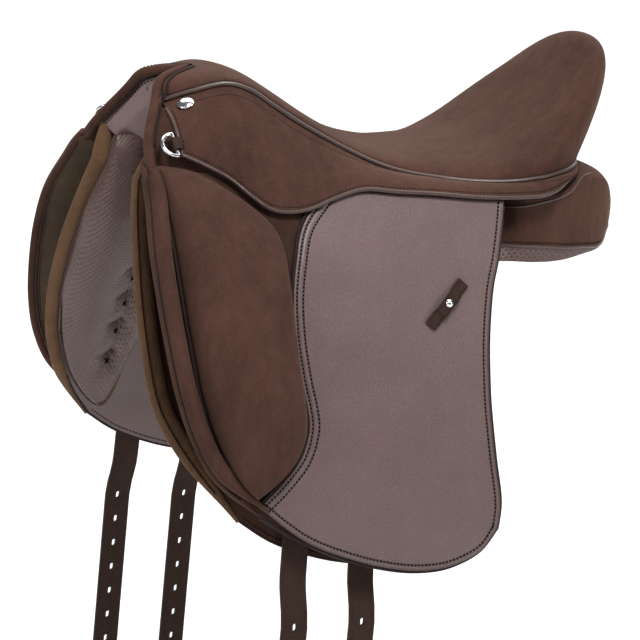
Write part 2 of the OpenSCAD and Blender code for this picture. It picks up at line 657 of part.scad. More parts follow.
// Suede between the roll and the skirt, running back under the skirt
module head_cover() {
    lay = sink(
        [for (i = [0:3]) [for (j = [0:6]) skirt_point(0.03 * i, lerp(0.95, 0.2, j / 6))]],
        even(skirt_t + run)
    );
    g = [for (j = [0:6])
        let (e = along(pommel_edge, 0.75 * (1 - j / 6)) - [roll_d / 2 + run, 0, 0])
        [e, lerp(e, lay[0][j], 0.5), lay[0][j], lay[1][j], lay[2][j], lay[3][j]]];
    color("saddlebrown") sandwich(g, shift_y(g, -2));
}

// Smooth lining inside the front arch
module pommel_facing() {
    front = [[238, 48, 0.08], [233, 39, 0.25], [225, 27, 0.47], [204, 9, 0.65], [188, 0, 0.72]];
    rear = [[206, 35, 0.05], [202, 28, 0.21], [196, 19, 0.36], [188, 8, 0.49], [182, 0, 0.52]];
    n = 16;
    half = function(p, t) let (q = along(p, t)) [q[0], q[1], lerp(tree_base, pommel_height, q[2])];
    whole = function(p, t) t <= 0.5 ? half(p, 2 * t) : let (q = half(p, 2 - 2 * t)) [q[0], -q[1], q[2]];
    g = [for (i = [0:n]) [for (j = [0:3]) lerp(whole(front, i / n), whole(rear, i / n), j / 3)]];
    color("gray") sandwich(g, sink(g, even(3)));
}

// Strip that carries the flap's top edge on the tree
hinge_front = on_flap(flap_top[0], -flap_t / 2);
hinge_rear = on_flap(flap_top[1], -flap_t / 2);
module flap_web() {
    hinge_at = function(x) lerp(hinge_front, hinge_rear, (flap_front_x - x) / (flap_front_x - flap_rear_x));
    g = [for (i = [1:3])
        let (p = wall_point(i, 0.15) + [0, 2 * gap, 0], h = hinge_at(p[0]) - [0, flap_t / 2 + 1.5 * gap, 0])
        [p, lerp(p, h, 0.5), h]];
    color("dimgray") sandwich(g, [for (r = g) [for (q = r) q - [0, 0, 2.5]]]);
}

// Girth straps and the web that they hang on
strap_end_z = strap_pivot_z - first_hole_drop - (hole_count - 1) * hole_pitch - strap_tail;
strap_flare = 12;
strap_offset = function(layer) 1.8 * run + strap_t / 2 + layer * (strap_t + run);
function strap_path_y(z, layer) =
    let (d = tree_base - z)
    at(sweat_rear_section, max(-d, -341)) + strap_offset(layer) + strap_flare * ease((d - 336) / 45);
module girth_strap(x, layer) {
    drops = concat([for (d = [4:18:326]) d], [336, 346, 356, 366, 381]);
    heights = concat([strap_pivot_z + 11], [for (d = drops) tree_base - d], [strap_end_z - 5]);
    color("maroon")
    intersection() {
        along_x(x - strap_w, 2 * strap_w)
        polygon(concat(
            [for (z = heights) [strap_path_y(z, layer) + strap_t / 2, z]],
            [for (i = [len(heights) - 1:-1:0]) [strap_path_y(heights[i], layer) - strap_t / 2, heights[i]]]
        ));
        translate([x, 300, 0]) rotate([90, 0, 0]) linear_extrude(300) difference() {
            union() {
                translate([-strap_w / 2, strap_end_z + strap_w / 2])
                    square([strap_w, strap_pivot_z + 9 - strap_end_z - strap_w / 2]);
                translate([0, strap_end_z + strap_w / 2]) circle(strap_w / 2);
            }
            translate([0, strap_pivot_z]) circle(rivet_r + 0.1);
            for (i = [0:hole_count - 1])
                translate([0, strap_pivot_z - first_hole_drop - i * hole_pitch]) {
                    square([hole_w, hole_l - hole_w], center = true);
                    for (s = [-1, 1]) translate([0, s * (hole_l - hole_w) / 2]) circle(hole_w / 2);
                }
        }
    }
}
web_low = tree_base + 1;
web_top = strap_pivot_z + 7;
function web_face(z) = strap_path_y(z, 0) - strap_t / 2 - run;
module girth_web() {
    rows = [for (i = [4:11]) i];
    wall_at = function(i, z)
        let (f = wall_point(i, 0), r = wall_point(i, 1)) lerp(f, r, (z - f[2]) / (r[2] - f[2]));
    inner = [for (i = rows) [for (z = [web_low, web_top]) wall_at(i, z) + [0, 2 * gap, 0]]];
    outer = [for (r = inner) [for (p = r) [p[0], web_face(p[2]), p[2]]]];
    color("peru")
    difference() {
        sandwich(outer, inner);
        for (x = [front_strap_x, rear_strap_x])
            translate([x, 0, strap_pivot_z]) rotate([-90, 0, 0]) cylinder(r = rivet_r + 0.1, h = 200);
    }
}
module strap_rivets()
    color("silver")
    for (side = [0, 1], s = [[front_strap_x, 1], [rear_strap_x, 0]])
        mirror([0, side, 0])
        translate([s[0], strap_path_y(strap_pivot_z, s[1]), strap_pivot_z]) rotate([-90, 0, 0]) {
            translate([0, 0, -strap_t - 2 * run - s[1] * (strap_t + run)])
                cylinder(r = rivet_r, h = 2 * strap_t + 3.5 * run + s[1] * (strap_t + run));
            translate([0, 0, strap_t / 2 + 1.9 * run]) cylinder(r = 5, h = 1.2);
        }

// Stirrup bar on the tree's wall, with its catch
bar_row = 4;
bar_p = wall_point(bar_row, 0.36);
bar_x = unit(wall_point(bar_row + 2, 0.36) - wall_point(bar_row - 2, 0.36));
bar_n = unit(cross(bar_x, wall_point(bar_row, 0.2) - wall_point(bar_row, 0.6)) * -1);
bar_lap = 10;
bar_pin_r = 2;
module on_bar() placed(bar_p + 1.8 * bar_n, bar_x, cross(bar_n, bar_x), bar_n) children();
module rounded_bar(l, h) translate([0, -bar_t / 2, 0]) cube([l, bar_t, h]);
module stirrup_bar()
    color("silver")
    on_bar() {
        difference() {
            translate([-bar_length / 2 - 4, -10, 0]) cube([bar_length + 8, 20, plate_t]);
            for (y = [-7, 7]) translate([0, y, -1]) cylinder(r = 2.6, h = plate_t + 2);
        }
        translate([-bar_length / 2 - 4, -bar_t / 2, plate_t]) cube([8, bar_t, bar_gap + bar_t]);
        translate([-bar_length / 2, 0, plate_t + bar_gap]) {
            rounded_bar(bar_length - bar_lap, bar_t);
            rounded_bar(bar_length, bar_t / 2 - run / 2);
        }
        translate([bar_length / 2 - bar_lap / 2, 0, plate_t + bar_gap + 1])
            cylinder(r = bar_pin_r, h = bar_t - 1);
    }
module bar_rivets()
    color("silver")
    for (side = [0, 1]) mirror([0, side, 0]) on_bar() for (y = [-7, 7]) translate([0, y, 0]) {
        translate([0, 0, -6]) cylinder(r = 2.5, h = plate_t + 6);
        translate([0, 0, plate_t + 0.1]) cylinder(r = 3.5, h = 1);
    }
module bar_catch()
    color("silver")
    on_bar()
    translate([bar_length / 2 - bar_lap / 2, 0, plate_t + bar_gap + bar_t / 2 + run / 2])
    difference() {
        union() {
            cylinder(r = bar_t / 2, h = bar_t / 2 - run / 2);
            translate([0, -bar_t / 2, 0]) cube([12, bar_t, bar_t / 2 - run / 2]);
        }
        translate([0, 0, -1]) cylinder(r = bar_pin_r + 0.1, h = bar_t);
    }

// Dee ring beside the skirt's front edge
dee_p = skirt_point(0, 0.84) + [6.5, 4, 0];
dee_y = unit(skirt_point(0, 0.8) - skirt_point(0, 0.4));
dee_n = unit([0, 1, 0] - dee_y[1] * dee_y);
dee_x = cross(dee_y, dee_n);
module on_dee() placed(dee_p, dee_x, dee_y, dee_n) children();
module dee()
    color("silver")
    on_dee() {
        rotate([-90, 0, 0]) cylinder(r = dee_wire / 2, h = dee_w + dee_wire, center = true);
        rotate([0, 0, -90])
            rotate_extrude(angle = 180)
            translate([(dee_w + dee_wire) / 2, 0])
            circle(dee_wire / 2);
    }
module dee_chape()
    color("maroon")
    on_dee()
    difference() {
        translate([-5, -6, -8]) cube([8, 12, 12]);
        rotate([-90, 0, 0]) cylinder(r = dee_wire / 2 + 0.1, h = 40, center = true);
    }

tree();
gullet_plate();
gullet_screws();
seat_foam();
seat_cover();
pommel_roll();
pommel_facing();
head_cover();  // near_head_cover
off() head_cover();  // off_head_cover
gullet_web();
welt();  // near_welt
off() welt();  // off_welt
skirt();  // near_skirt
off() skirt();  // off_skirt
stud();  // near_stud
off() stud();  // off_stud
panel();  // near_panel
off() panel();  // off_panel
tuft_buttons();  // near_tufts
off() tuft_buttons();  // off_tufts
sweat_flap();  // near_sweat_flap
off() sweat_flap();  // off_sweat_flap
flap_web();  // near_flap_web
off() flap_web();  // off_flap_web
flap();  // near_flap
off() flap();  // off_flap
flap_roll();  // near_flap_roll
off() flap_roll();  // off_flap_roll
facing();  // near_facing
off() facing();  // off_facing
knee_block();  // near_knee_block
off() knee_block();  // off_knee_block
keeper();  // near_keeper
off() keeper();  // off_keeper
keeper_stud();  // near_keeper_stud
off() keeper_stud();  // off_keeper_stud
girth_web();  // near_girth_web
off() girth_web();  // off_girth_web
strap_rivets();
girth_strap(front_strap_x, 1);  // near_front_strap
girth_strap(rear_strap_x, 0);  // near_rear_strap
off() girth_strap(front_strap_x, 1);  // off_front_strap
off() girth_strap(rear_strap_x, 0);  // off_rear_strap
stirrup_bar();  // near_stirrup_bar
off() stirrup_bar();  // off_stirrup_bar
bar_rivets();
bar_catch();  // near_bar_catch
off() bar_catch();  // off_bar_catch
dee_chape();  // near_dee_chape
off() dee_chape();  // off_dee_chape
dee();  // near_dee
off() dee();  // off_dee
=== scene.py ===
"""Dresses the solids of a dressage saddle in suede, leather, thread and metal."""
import json
import math

import bpy
import numpy as np
from mathutils import Matrix, Vector

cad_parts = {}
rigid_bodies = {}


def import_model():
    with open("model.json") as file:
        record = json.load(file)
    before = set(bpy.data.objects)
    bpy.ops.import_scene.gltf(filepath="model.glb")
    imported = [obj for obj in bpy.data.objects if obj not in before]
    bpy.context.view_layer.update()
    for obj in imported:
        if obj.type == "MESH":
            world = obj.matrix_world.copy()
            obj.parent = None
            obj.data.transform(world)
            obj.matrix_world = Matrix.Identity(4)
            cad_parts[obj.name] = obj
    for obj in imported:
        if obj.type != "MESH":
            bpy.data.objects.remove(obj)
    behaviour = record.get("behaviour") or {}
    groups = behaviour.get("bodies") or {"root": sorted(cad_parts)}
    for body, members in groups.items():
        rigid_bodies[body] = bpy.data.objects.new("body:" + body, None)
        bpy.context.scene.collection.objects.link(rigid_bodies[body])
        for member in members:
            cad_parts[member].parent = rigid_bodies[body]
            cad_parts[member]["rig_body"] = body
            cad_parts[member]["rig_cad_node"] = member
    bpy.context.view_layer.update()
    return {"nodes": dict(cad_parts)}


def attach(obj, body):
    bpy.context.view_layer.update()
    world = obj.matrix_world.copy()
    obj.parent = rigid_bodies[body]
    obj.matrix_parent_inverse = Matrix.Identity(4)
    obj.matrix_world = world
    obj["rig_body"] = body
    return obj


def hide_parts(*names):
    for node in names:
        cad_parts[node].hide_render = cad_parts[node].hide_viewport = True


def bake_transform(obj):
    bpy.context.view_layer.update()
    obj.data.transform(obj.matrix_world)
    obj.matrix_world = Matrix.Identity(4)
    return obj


bl_info = {
    "name": "Dressage Saddle",
    "version": (1, 0, 0),
    "blender": (4, 5, 0),
    "location": "3D View > Sidebar > Saddle",
    "description": "Covers the solids of a dressage saddle with suede, leather, stitching and metal",
    "category": "Add Mesh",
}

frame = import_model()
MM = 0.001
SIDES = ("near", "off")

# Sizes of the saddle in millimetres, as the solids have them
SEAT_LENGTH, FRONT_REACH, POMMEL, DIP, CANTLE = 444, 230, 158, 87, 194
POMMEL_HALF, CANTLE_HALF = 48, 112
BASE, WELT_D, SKIRT_DEPTH, SKIRT_T, SKIRT_BULGE = 66, 4.4, 83, 3.5, 6
FLAP_FRONT, FLAP_REAR, HINGE_FRONT, HINGE_REAR, FLAP_DEPTH = 259, -82, 79, 61, 345
FLAP_T, FACING_T, FACING_INSET, ROLL_D, BLOCK_T, BLOCK_EDGE = 5, 2.5, 2, 10, 34, 9
GULLET_HALF, GULLET_WALL, PANEL_BELLY, SWEAT_T = 34, 30, 13, 3
STRAP_W, STRAP_T, STRAP_X, STRAP_PIVOT, STRAP_END = 25, 3.5, {"front": 132, "rear": 62}, 72, -571
GAP = 0.4
# Flap's front roll as it is worn: how far in and up its middle sits, its radius, and that of the edge ahead of it
BAND_IN, BAND_UP, BAND_R, EDGE_R = 8, 4, 7.5, 4
# Tan band of the sweat flap: radius, flatness, and the points under the pommel where it starts
TAN_R, TAN_FLAT, TAN_HEAD = 9, 0.6, [(238, 57, 92), (243, 53, 78)]
# Thickness of the suede, the foam, the arch's lining and the keeper, and how deep the foam lies
COVER_T, FOAM_T, LINING_T, KEEPER_T, FOAM_DEPTH = 2, 3.5, 2.5, 2.5, 3.8
# Knee block: about how wide and high it is, and the width of its rounded edge
BLOCK_WIDE, BLOCK_HIGH, BLOCK_ROUND = 95, 250, 7
# Keeper: the place of its middle, half its length and width, and its bow under the stud
KEEPER_PLACE, KEEPER_HALF, KEEPER_BOW = (-11.0, -94.0), (27, 6), 3.5
# Flap's hinge: how far out its ends lie, how far below it the skirt starts to fold, and over what width
HINGE_OUT, FOLD_START, FOLD = (74.5, 105.5), 2, 26
# A closer pitch and a finer thread than the facing's; its rows' distances from the seam and the rim
FINE_PITCH, FINE_THREAD = 3.4, 0.8
SEAM_ROW, BAND_ROW, RIM_ROW = 3.0, 9.2, 4.6
# Place of the skirt's front row, as a share of the skirt's length
FRONT_ROW = 0.012
# Points along the foot and the top of the pommel's roll, and where on the seat's edge the top starts
ROLL_FOOT, ROLL_TOP, ROLL_RIM = 14, 24, 0.92
# Girth straps: clearance over the sweat flap, and how far they bend out below it, from what depth and over what length
STRAP_CLEAR, STRAP_BEND, BEND_DEPTH, BEND_LENGTH = 1.8, 12, 336, 45
# Panel: points across its hide, the one on the hem, and the steps of its roof and its outer wall
ACROSS, HEM_COLUMN, ROOF, WALL = 97, 72, 4, 12
# Panel: length of its rounded front and rear ends, and where it comes out from behind the sweat flap
PANEL_NOSE, PANEL_TAIL, SWEAT_END = 26, 46, -72
# Tufts: depth of the dimple, of the well in its middle, of the folds round it and of the groove between tufts
DIMPLE, WELL, PLEAT, GROOVE = 10, 8, 0.9, 5
# Directions that faces look in and rolls are laid by
UPWARD, OUTWARD, SKIRT_FACE, ROLL_SIDE = (0, 0, 1), (0, 1, 0), (0, 1, 0.3), (1, 0, 0.3)

# Studio in metres. The camera's turn, rise and tilt are in degrees, its focal length in picture widths.
CAMERA_TURN, CAMERA_AIM, CAMERA_DISTANCE = (27, 13.5, 5.5), (0.040, 0.018, -0.080), 3.5
SENSOR, FOCAL = 36, 3740 / 640
FLOOR_SIZE, SKY_STRENGTH, LIGHT_AIM = 40, 0.14, (0.02, 0.0, 0)
# Name, place, size and power of each light
LIGHTS = (
    ("sky_light", (-1.6, -3.4, 4.6), 9.0, 640),
    ("front_light", (0.4, 1.8, 3.0), 1.0, 120),
    ("side_light", (-2.3, 2.3, 1.3), 1.2, 26),
    ("fill_light", (2.9, 1.0, 1.1), 0.7, 26),
)

# Curves of the pieces: shares of the sizes above, or millimetres, with heights from the base
DIP_LINE = [
    (0.1, 0.985), (0.125, 1), (0.16, 1.005), (0.205, 0.92), (0.265, 0.715),
    (0.34, 0.44), (0.415, 0.215), (0.5, 0.065), (0.6, 0),
]
CANTLE_LINE = [
    (0.7, 0.03), (0.785, 0.14), (0.87, 0.41), (0.945, 0.75), (1, 0.98), (1.04, 0.93), (1.045, 0.66), (1, 0.1),
]
RIM_LINE = [
    (0.01, -0.28, 0.67), (0.065, -0.14, 0.81), (0.13, -0.04, 0.92), (0.18, 0.06, 0.86), (0.23, 0.12, 0.68),
    (0.285, 0.19, 0.48), (0.345, 0.25, 0.28), (0.405, 0.33, 0.1), (0.47, 0.39, -0.06), (0.53, 0.44, -0.16),
    (0.6, 0.55, -0.21), (0.67, 0.73, -0.22), (0.74, 0.92, -0.18), (0.805, 1, -0.11), (0.865, 0.84, -0.06),
    (0.91, 0.6, -0.03), (0.945, 0.25, -0.03), (0.97, -0.16, -0.02), (0.98, -0.62, -0.02),
]
SKIRT_LINE = [
    (-2, 0.52), (5, 0.72), (12, 0.94), (18, 1.04), (24, 1.01), (30, 0.87), (35, 0.66), (36, 0.4),
    (36, 0.18), (30, 0.11), (24, 0.08), (12, 0.1), (1, 0.13), (-4, 0.16), (-5, 0.14), (-3, 0.14),
    (-2, 0.12), (-2, 0.12), (-2, 0.12),
]
FLAP_FRONT_SECTION = [
    (-0.06, 57), (0, 77), (0.07, 98), (0.18, 128), (0.29, 149), (0.41, 166), (0.53, 180),
    (0.64, 191), (0.74, 199), (0.81, 204), (0.91, 209), (1.03, 211),
]
FLAP_REAR_SECTION = [
    (-0.06, 90), (0, 108), (0.07, 127), (0.19, 147), (0.28, 160), (0.4, 176), (0.52, 188),
    (0.6, 196), (0.71, 203), (0.81, 207), (0.91, 209), (1.03, 211),
]
FLAP_FRONT_EDGE = [
    (0, 0), (2, 0.07), (7, 0.18), (6, 0.29), (1, 0.41), (-7, 0.53), (-20, 0.64), (-42, 0.74), (-84, 0.835),
]
FLAP_REAR_EDGE = [
    (0, 0.046), (12, 0.19), (22, 0.28), (29, 0.4), (30, 0.52), (29, 0.6), (24, 0.71), (17, 0.82), (18, 0.893),
]
FLAP_LOW_EDGE = [
    (0, 0.835), (0.18, 0.905), (0.39, 0.962), (0.56, 0.991), (0.69, 1), (0.81, 0.991), (0.93, 0.954), (1, 0.893),
]
FACING_SEAM = [
    (92, 0), (120, -28), (132, -57), (139, -89), (140, -123), (136, -157), (131, -182), (130, -200),
    (138, -224), (157, -246), (178, -265),
]
BLOCK_TOP = [(249, 15), (229, 14), (207, 9), (186, -2), (168, -14), (152, -28)]
BLOCK_FRONT = [
    (249, 15), (246, -10), (245, -48), (243, -87), (238, -129), (231, -170), (219, -207), (202, -238), (182, -258),
]
BLOCK_REAR = [(152, -28), (146, -44), (145, -66), (144, -97), (141, -139), (137, -173), (136, -198)]
BLOCK_LOW = [(182, -258), (162, -241), (146, -222), (136, -198)]
SWEAT_FRONT_SECTION = [
    (-346, 180), (-286, 172), (-269, 167), (-246, 152), (-218, 136), (-188, 123), (-146, 109),
    (-104, 91), (-71, 76), (-34, 60), (-4, 49), (24, 40),
]
SWEAT_REAR_SECTION = [
    (-346, 186), (-266, 182), (-216, 176), (-166, 163), (-116, 148), (-66, 126), (-46, 109), (-26, 91), (-16, 83),
    (-4, 76), (10, 73), (24, 72),
]
SWEAT_TOP = [(246, -6), (180, -9), (100, -10), (10, -11), (-66, -14)]
SWEAT_FRONT = [
    (246, -6), (250, -34), (253, -71), (254, -104), (252, -146), (245, -188), (232, -218), (212, -250), (183, -286),
]
SWEAT_REAR = [(-66, -14), (-58, -56), (-50, -106), (-44, -166), (-43, -226), (-48, -281), (-46, -306)]
SWEAT_LOW = [(183, -286), (150, -306), (104, -322), (58, -330), (15, -331), (-22, -324), (-46, -306)]
POMMEL_LINE = [(8, 4, -8), (13, 10, -16), (19, 18, -26), (27, 27, -37), (36, 39, -49)]
ROLL_LINE = [(8, 4, -8), (13, 10, -16), (19, 18, -27), (24, 28, -39), (26, 40, -50), (26, 50, -61)]
ARCH_FRONT = [(238, 48, 0.08), (233, 39, 0.25), (225, 27, 0.47), (204, 9, 0.65), (188, 0, 0.72)]
ARCH_REAR = [(206, 35, 0.05), (202, 28, 0.21), (196, 19, 0.36), (188, 8, 0.49), (182, 0, 0.52)]
PANEL_LOW = [
    (-246, -46), (-222, -59), (-190, -67), (-150, -70), (-90, -67), (-30, -62), (30, -64), (75, -84), (110, -111),
    (135, -146), (150, -191), (160, -246), (172, -274), (186, -271), (204, -251), (220, -226), (230, -204), (236, -186),
]
GUSSET = [(-246, 44), (-228, 67), (-196, 90), (-155, 107), (-118, 114), (-75, 110)]
TUFTS = [(192, -128), (191, -156), (189, -188), (185, -224)]
PANEL_FRONT, PANEL_REAR = 236, -246


def lerp(a, b, t):
    """Value between a and b."""
    return a + (b - a) * t


def ease(t):
    """Smooth step from 0 to 1."""
    c = np.clip(t, 0, 1)
    return c * c * (3 - 2 * c)


def unit(v):
    """Vectors of length 1."""
    v = np.asarray(v, float)
    return v / np.maximum(np.linalg.norm(v, axis=-1, keepdims=True), 1e-9)


def stack(*parts):
    """Points from their coordinates."""
    return np.stack(np.broadcast_arrays(*parts), axis=-1)


def along(points, t):
    """Point of a smooth curve through the points, with t from 0 to 1."""
    p = np.asarray(points, float)
    n = len(p) - 1
    f = np.clip(np.asarray(t, float), 0, 1) * n
    i = np.minimum(n - 1, np.floor(f).astype(int))
    u = (f - i)[..., None]
    a, b, c, d = p[np.maximum(i - 1, 0)], p[i], p[i + 1], p[np.minimum(i + 2, n)]
    return 0.5 * (2 * b + (c - a) * u + (2 * a - 5 * b + 4 * c - d) * u**2 + (3 * b - a - 3 * c + d) * u**3)


def profile(pairs, x):
    """Value of a smooth profile through (place, value) pairs."""
    k = np.asarray(pairs, float)
    n = len(k) - 1
    x = np.clip(np.asarray(x, float), k[0, 0], k[n, 0])
    i = np.clip(np.searchsorted(k[:, 0], x, side="right") - 1, 0, n - 1)
    lo, hi = np.maximum(np.arange(n + 1) - 1, 0), np.minimum(np.arange(n + 1) + 1, n)
    slope = (k[hi, 1] - k[lo, 1]) / (k[hi, 0] - k[lo, 0])
    h = k[i + 1, 0] - k[i, 0]
    u = (x - k[i, 0]) / h
    p, q, a, b = k[i, 1], k[i + 1, 1], h * slope[i], h * slope[i + 1]
    return p + a * u + (3 * (q - p) - 2 * a - b) * u**2 + (2 * (p - q) + a + b) * u**3


def trace(points, count, start=0, end=1):
    """Points along a part of a smooth curve."""
    return along(points, np.linspace(start, end, count))


def lattice(rows, columns):
    """Two values over a grid, the first one along its rows."""
    return np.meshgrid(rows, columns, indexing="ij")


def both_ways(half):
    """A near line up to the middle, and on as its mirror image."""
    return np.concatenate([half, half[-2::-1] * (1, -1, 1)])


def patch(top, low, front, rear, u, v):
    """Point inside four edge curves that meet at their ends."""
    top, low = np.asarray(top, float), np.asarray(low, float)
    a, b, c, d = along(top, u), along(low, u), along(front, v), along(rear, v)
    u, v = np.asarray(u, float)[..., None], np.asarray(v, float)[..., None]
    corner = lerp(lerp(top[0], top[-1], u), lerp(low[0], low[-1], u), v)
    return lerp(a, b, v) + lerp(c, d, u) - corner


def raised(line):
    """A flat line with its heights counted from the origin instead of the base."""
    return [(x, z + BASE) for x, z in line]


MID = [(FRONT_REACH - SEAT_LENGTH * x, 0, lerp(DIP, POMMEL, h)) for x, h in DIP_LINE]
MID += [(FRONT_REACH - SEAT_LENGTH * x, 0, lerp(DIP, CANTLE, h)) for x, h in CANTLE_LINE]
RIM = [
    (FRONT_REACH - SEAT_LENGTH * x, lerp(POMMEL_HALF, CANTLE_HALF, w), lerp(DIP, POMMEL, h)) for x, w, h in RIM_LINE
]


def seat(t, s):
    """Point of the seat: t from pommel to cantle, s from the middle at 0 to the near rim at 1."""
    t, s = np.broadcast_arrays(np.asarray(t, float), np.asarray(s, float))
    m, w = along(MID, t), along(RIM, t)
    a = np.radians(90 * np.abs(s))
    full = lerp(1, 0.9, ease((t - 0.6) / 0.25))
    q = lerp(ease(np.sin(a)), 1 - np.cos(a), ease(t / 0.35))
    side = np.sin(a) ** full
    crown = np.maximum(np.cos(a), 0) ** full
    return stack(lerp(m[..., 0], w[..., 0], q), np.sign(s) * w[..., 1] * side, lerp(w[..., 2], m[..., 2], crown))


def past_rim(t, d):
    """Point beyond the seat's near rim by d."""
    p = seat(t, 1)
    return p + d * unit(p - seat(t, 0.88))


def flap_y(x, z):
    """How far out the flap's face lies."""
    f = np.clip((FLAP_FRONT - np.asarray(x, float)) / (FLAP_FRONT - FLAP_REAR), -0.1, 1.1)
    q = (HINGE_FRONT - np.asarray(z, float)) / FLAP_DEPTH
    return lerp(profile(FLAP_FRONT_SECTION, q), profile(FLAP_REAR_SECTION, q), f)


def on_flap(p, d):
    """Flat points laid on the flap, d above its face."""
    x, z = p[..., 0], p[..., 1]
    return stack(x, flap_y(x, z) + d, z)


def skirt(t, v):
    """Point of the skirt: t from its front to its rear, v from the welt to its free edge."""
    t, v = np.broadcast_arrays(np.asarray(t, float), np.asarray(v, float))
    p = past_rim(t, WELT_D + 4.2 * GAP)
    w, e = along(RIM, t), along(SKIRT_LINE, t)
    x, z = w[..., 0] + e[..., 0], w[..., 2] - SKIRT_DEPTH * e[..., 1]
    out = p[..., 1] + 1
    laid = flap_y(x, z) + FACING_T + 2 * GAP + 1 + 1.6 * SKIRT_T
    q = stack(x, lerp(out, np.maximum(out, laid), ease((x - FLAP_REAR + 90) / 60)), z)
    n = unit(stack(0 * x, p[..., 2] - q[..., 2], q[..., 1] - p[..., 1]))
    v = v[..., None]
    return lerp(p, q, v) + 4 * SKIRT_BULGE * v * (1 - v) * n


def drop(f):
    """Height at a share of the flap's depth."""
    return HINGE_FRONT - FLAP_DEPTH * f


FLAP_TOP = [(FLAP_FRONT, HINGE_FRONT), (FLAP_REAR, HINGE_REAR)]
FLAP_FRONT_CURVE = [(FLAP_FRONT + x, drop(f)) for x, f in FLAP_FRONT_EDGE]
FLAP_REAR_CURVE = [FLAP_TOP[1]] + [(FLAP_REAR + x, drop(f)) for x, f in FLAP_REAR_EDGE[1:]]
FLAP_LOW_CURVE = [(lerp(FLAP_FRONT_CURVE[-1][0], FLAP_REAR_CURVE[-1][0], f), drop(q)) for f, q in FLAP_LOW_EDGE]
SEAM = raised(FACING_SEAM)
FACING_END = (FLAP_REAR_CURVE[-1][0] + FACING_INSET, FLAP_REAR_CURVE[-1][1] + 1)
FACING_LOW = [SEAM[-1]] + [(x, z + FACING_INSET) for x, z in FLAP_LOW_CURVE[1:-1]] + [FACING_END]
FACING_TOP = [SEAM[0], (FLAP_TOP[1][0] + FACING_INSET, FLAP_TOP[1][1] - FACING_INSET)]
FACING_REAR = [FACING_TOP[1]] + [(x + FACING_INSET, z) for x, z in FLAP_REAR_CURVE[1:-1]] + [FACING_END]


def sweat_y(x, z):
    """How far out the sweat flap's face lies."""
    h = np.asarray(z, float) - BASE
    return lerp(profile(SWEAT_REAR_SECTION, h), profile(SWEAT_FRONT_SECTION, h), ease((np.asarray(x) - 135) / 113))


def on_sweat(p, d):
    """Flat points laid on the sweat flap, d above its face."""
    x, z = p[..., 0], p[..., 1]
    return stack(x, sweat_y(x, z) + d, z)


def strap_y(z, layer):
    """How far out a girth strap's middle lies; the front strap is one layer further out."""
    d = BASE - np.asarray(z, float)
    offset = STRAP_CLEAR + STRAP_T / 2 + layer * (STRAP_T + 1)
    bend = STRAP_BEND * ease((d - BEND_DEPTH) / BEND_LENGTH)
    return profile(SWEAT_REAR_SECTION, np.maximum(-d, -BEND_DEPTH - 5)) + offset + bend


def behind(x):
    """1 behind the sweat flap and 0 under it."""
    return ease((SWEAT_END - x) / 40)


def panel_y(x, z):
    """How far out the panel reaches: to the sweat flap, and behind it to the gusset."""
    return lerp(sweat_y(x, z) - SWEAT_T - 6 * GAP, profile(GUSSET, x), behind(x))


def panel_outside(x, j):
    """Point of the panel's roof and outer wall, and the height of its top."""
    low = BASE + profile(PANEL_LOW, x)
    f = np.clip((PANEL_REAR + PANEL_TAIL - x) / PANEL_TAIL, 0, 1)
    top = lerp(low + 4, BASE - GAP, np.sqrt(1 - f * f))
    shoulder = top - lerp(9, 6, behind(x)) * np.clip((x - PANEL_REAR) / 30, 0, 1)
    y = np.maximum(GULLET_HALF + 3, panel_y(x, shoulder))
    r = np.clip(j / ROOF, 0, 1)
    z = np.where(j <= ROOF, lerp(top, shoulder, r**3), lerp(shoulder, low, np.clip((j - ROOF) / WALL, 0, 1)))
    wide = np.where(j <= ROOF, lerp(GULLET_HALF, y, r), np.maximum(GULLET_HALF + 3, panel_y(x, z)))
    return stack(x + 0 * z, wide, z), top


def panel_inside(x, j):
    """Point of the panel's belly, pulled in at the tufts and along the groove between them."""
    o, top = panel_outside(x, j)
    e, _ = panel_outside(x, 0 * j + ROOF + WALL)
    a = stack(0 * top + GULLET_HALF, top - GULLET_WALL)
    b = stack(e[..., 1] - 7, e[..., 2])
    d = b - a
    n = unit(stack(d[..., 1], -d[..., 0]))
    c = (a + b) / 2 + 2 * PANEL_BELLY * n
    v = (j / (ROOF + WALL) + 0 * x)[..., None]
    p = lerp(lerp(a, c, v), lerp(c, b, v), v)
    p = stack(x + 0 * j, p[..., 0], p[..., 1])
    f, r = np.clip((PANEL_FRONT - x) / PANEL_NOSE, 0, 1), np.clip((x - PANEL_REAR) / PANEL_TAIL, 0, 1)
    full = lerp(0.3, 1, np.sqrt(f * (2 - f))) * lerp(0.35, 1, np.sqrt(r * (2 - r)))
    p = lerp(o, p, (full + 0 * j)[..., None])
    pull = 0
    for tx, tz in raised(TUFTS):
        dx, dz = p[..., 0] - tx, p[..., 2] - tz
        rr, angle = dx * dx + dz * dz, np.arctan2(dz, dx)
        pleats = PLEAT * np.cos(5 * angle + tz) * np.exp(-((np.sqrt(rr) - 10) ** 2) / 40)
        pull = np.maximum(pull, DIMPLE * np.exp(-rr / 130) + WELL * np.exp(-rr / 14) + pleats)
    rows = np.array(raised(TUFTS))[::-1]
    z = p[..., 2]
    groove = np.exp(-(((p[..., 0] - np.interp(z, rows[:, 1], rows[:, 0])) / 8) ** 2))
    groove = GROOVE * groove * ease((z - rows[0, 1] + 12) / 20) * ease((rows[-1, 1] + 12 - z) / 20)
    pull = np.maximum(pull, groove) + 0.4 * np.minimum(pull, groove)
    return p + pull[..., None] * unit(o - p)


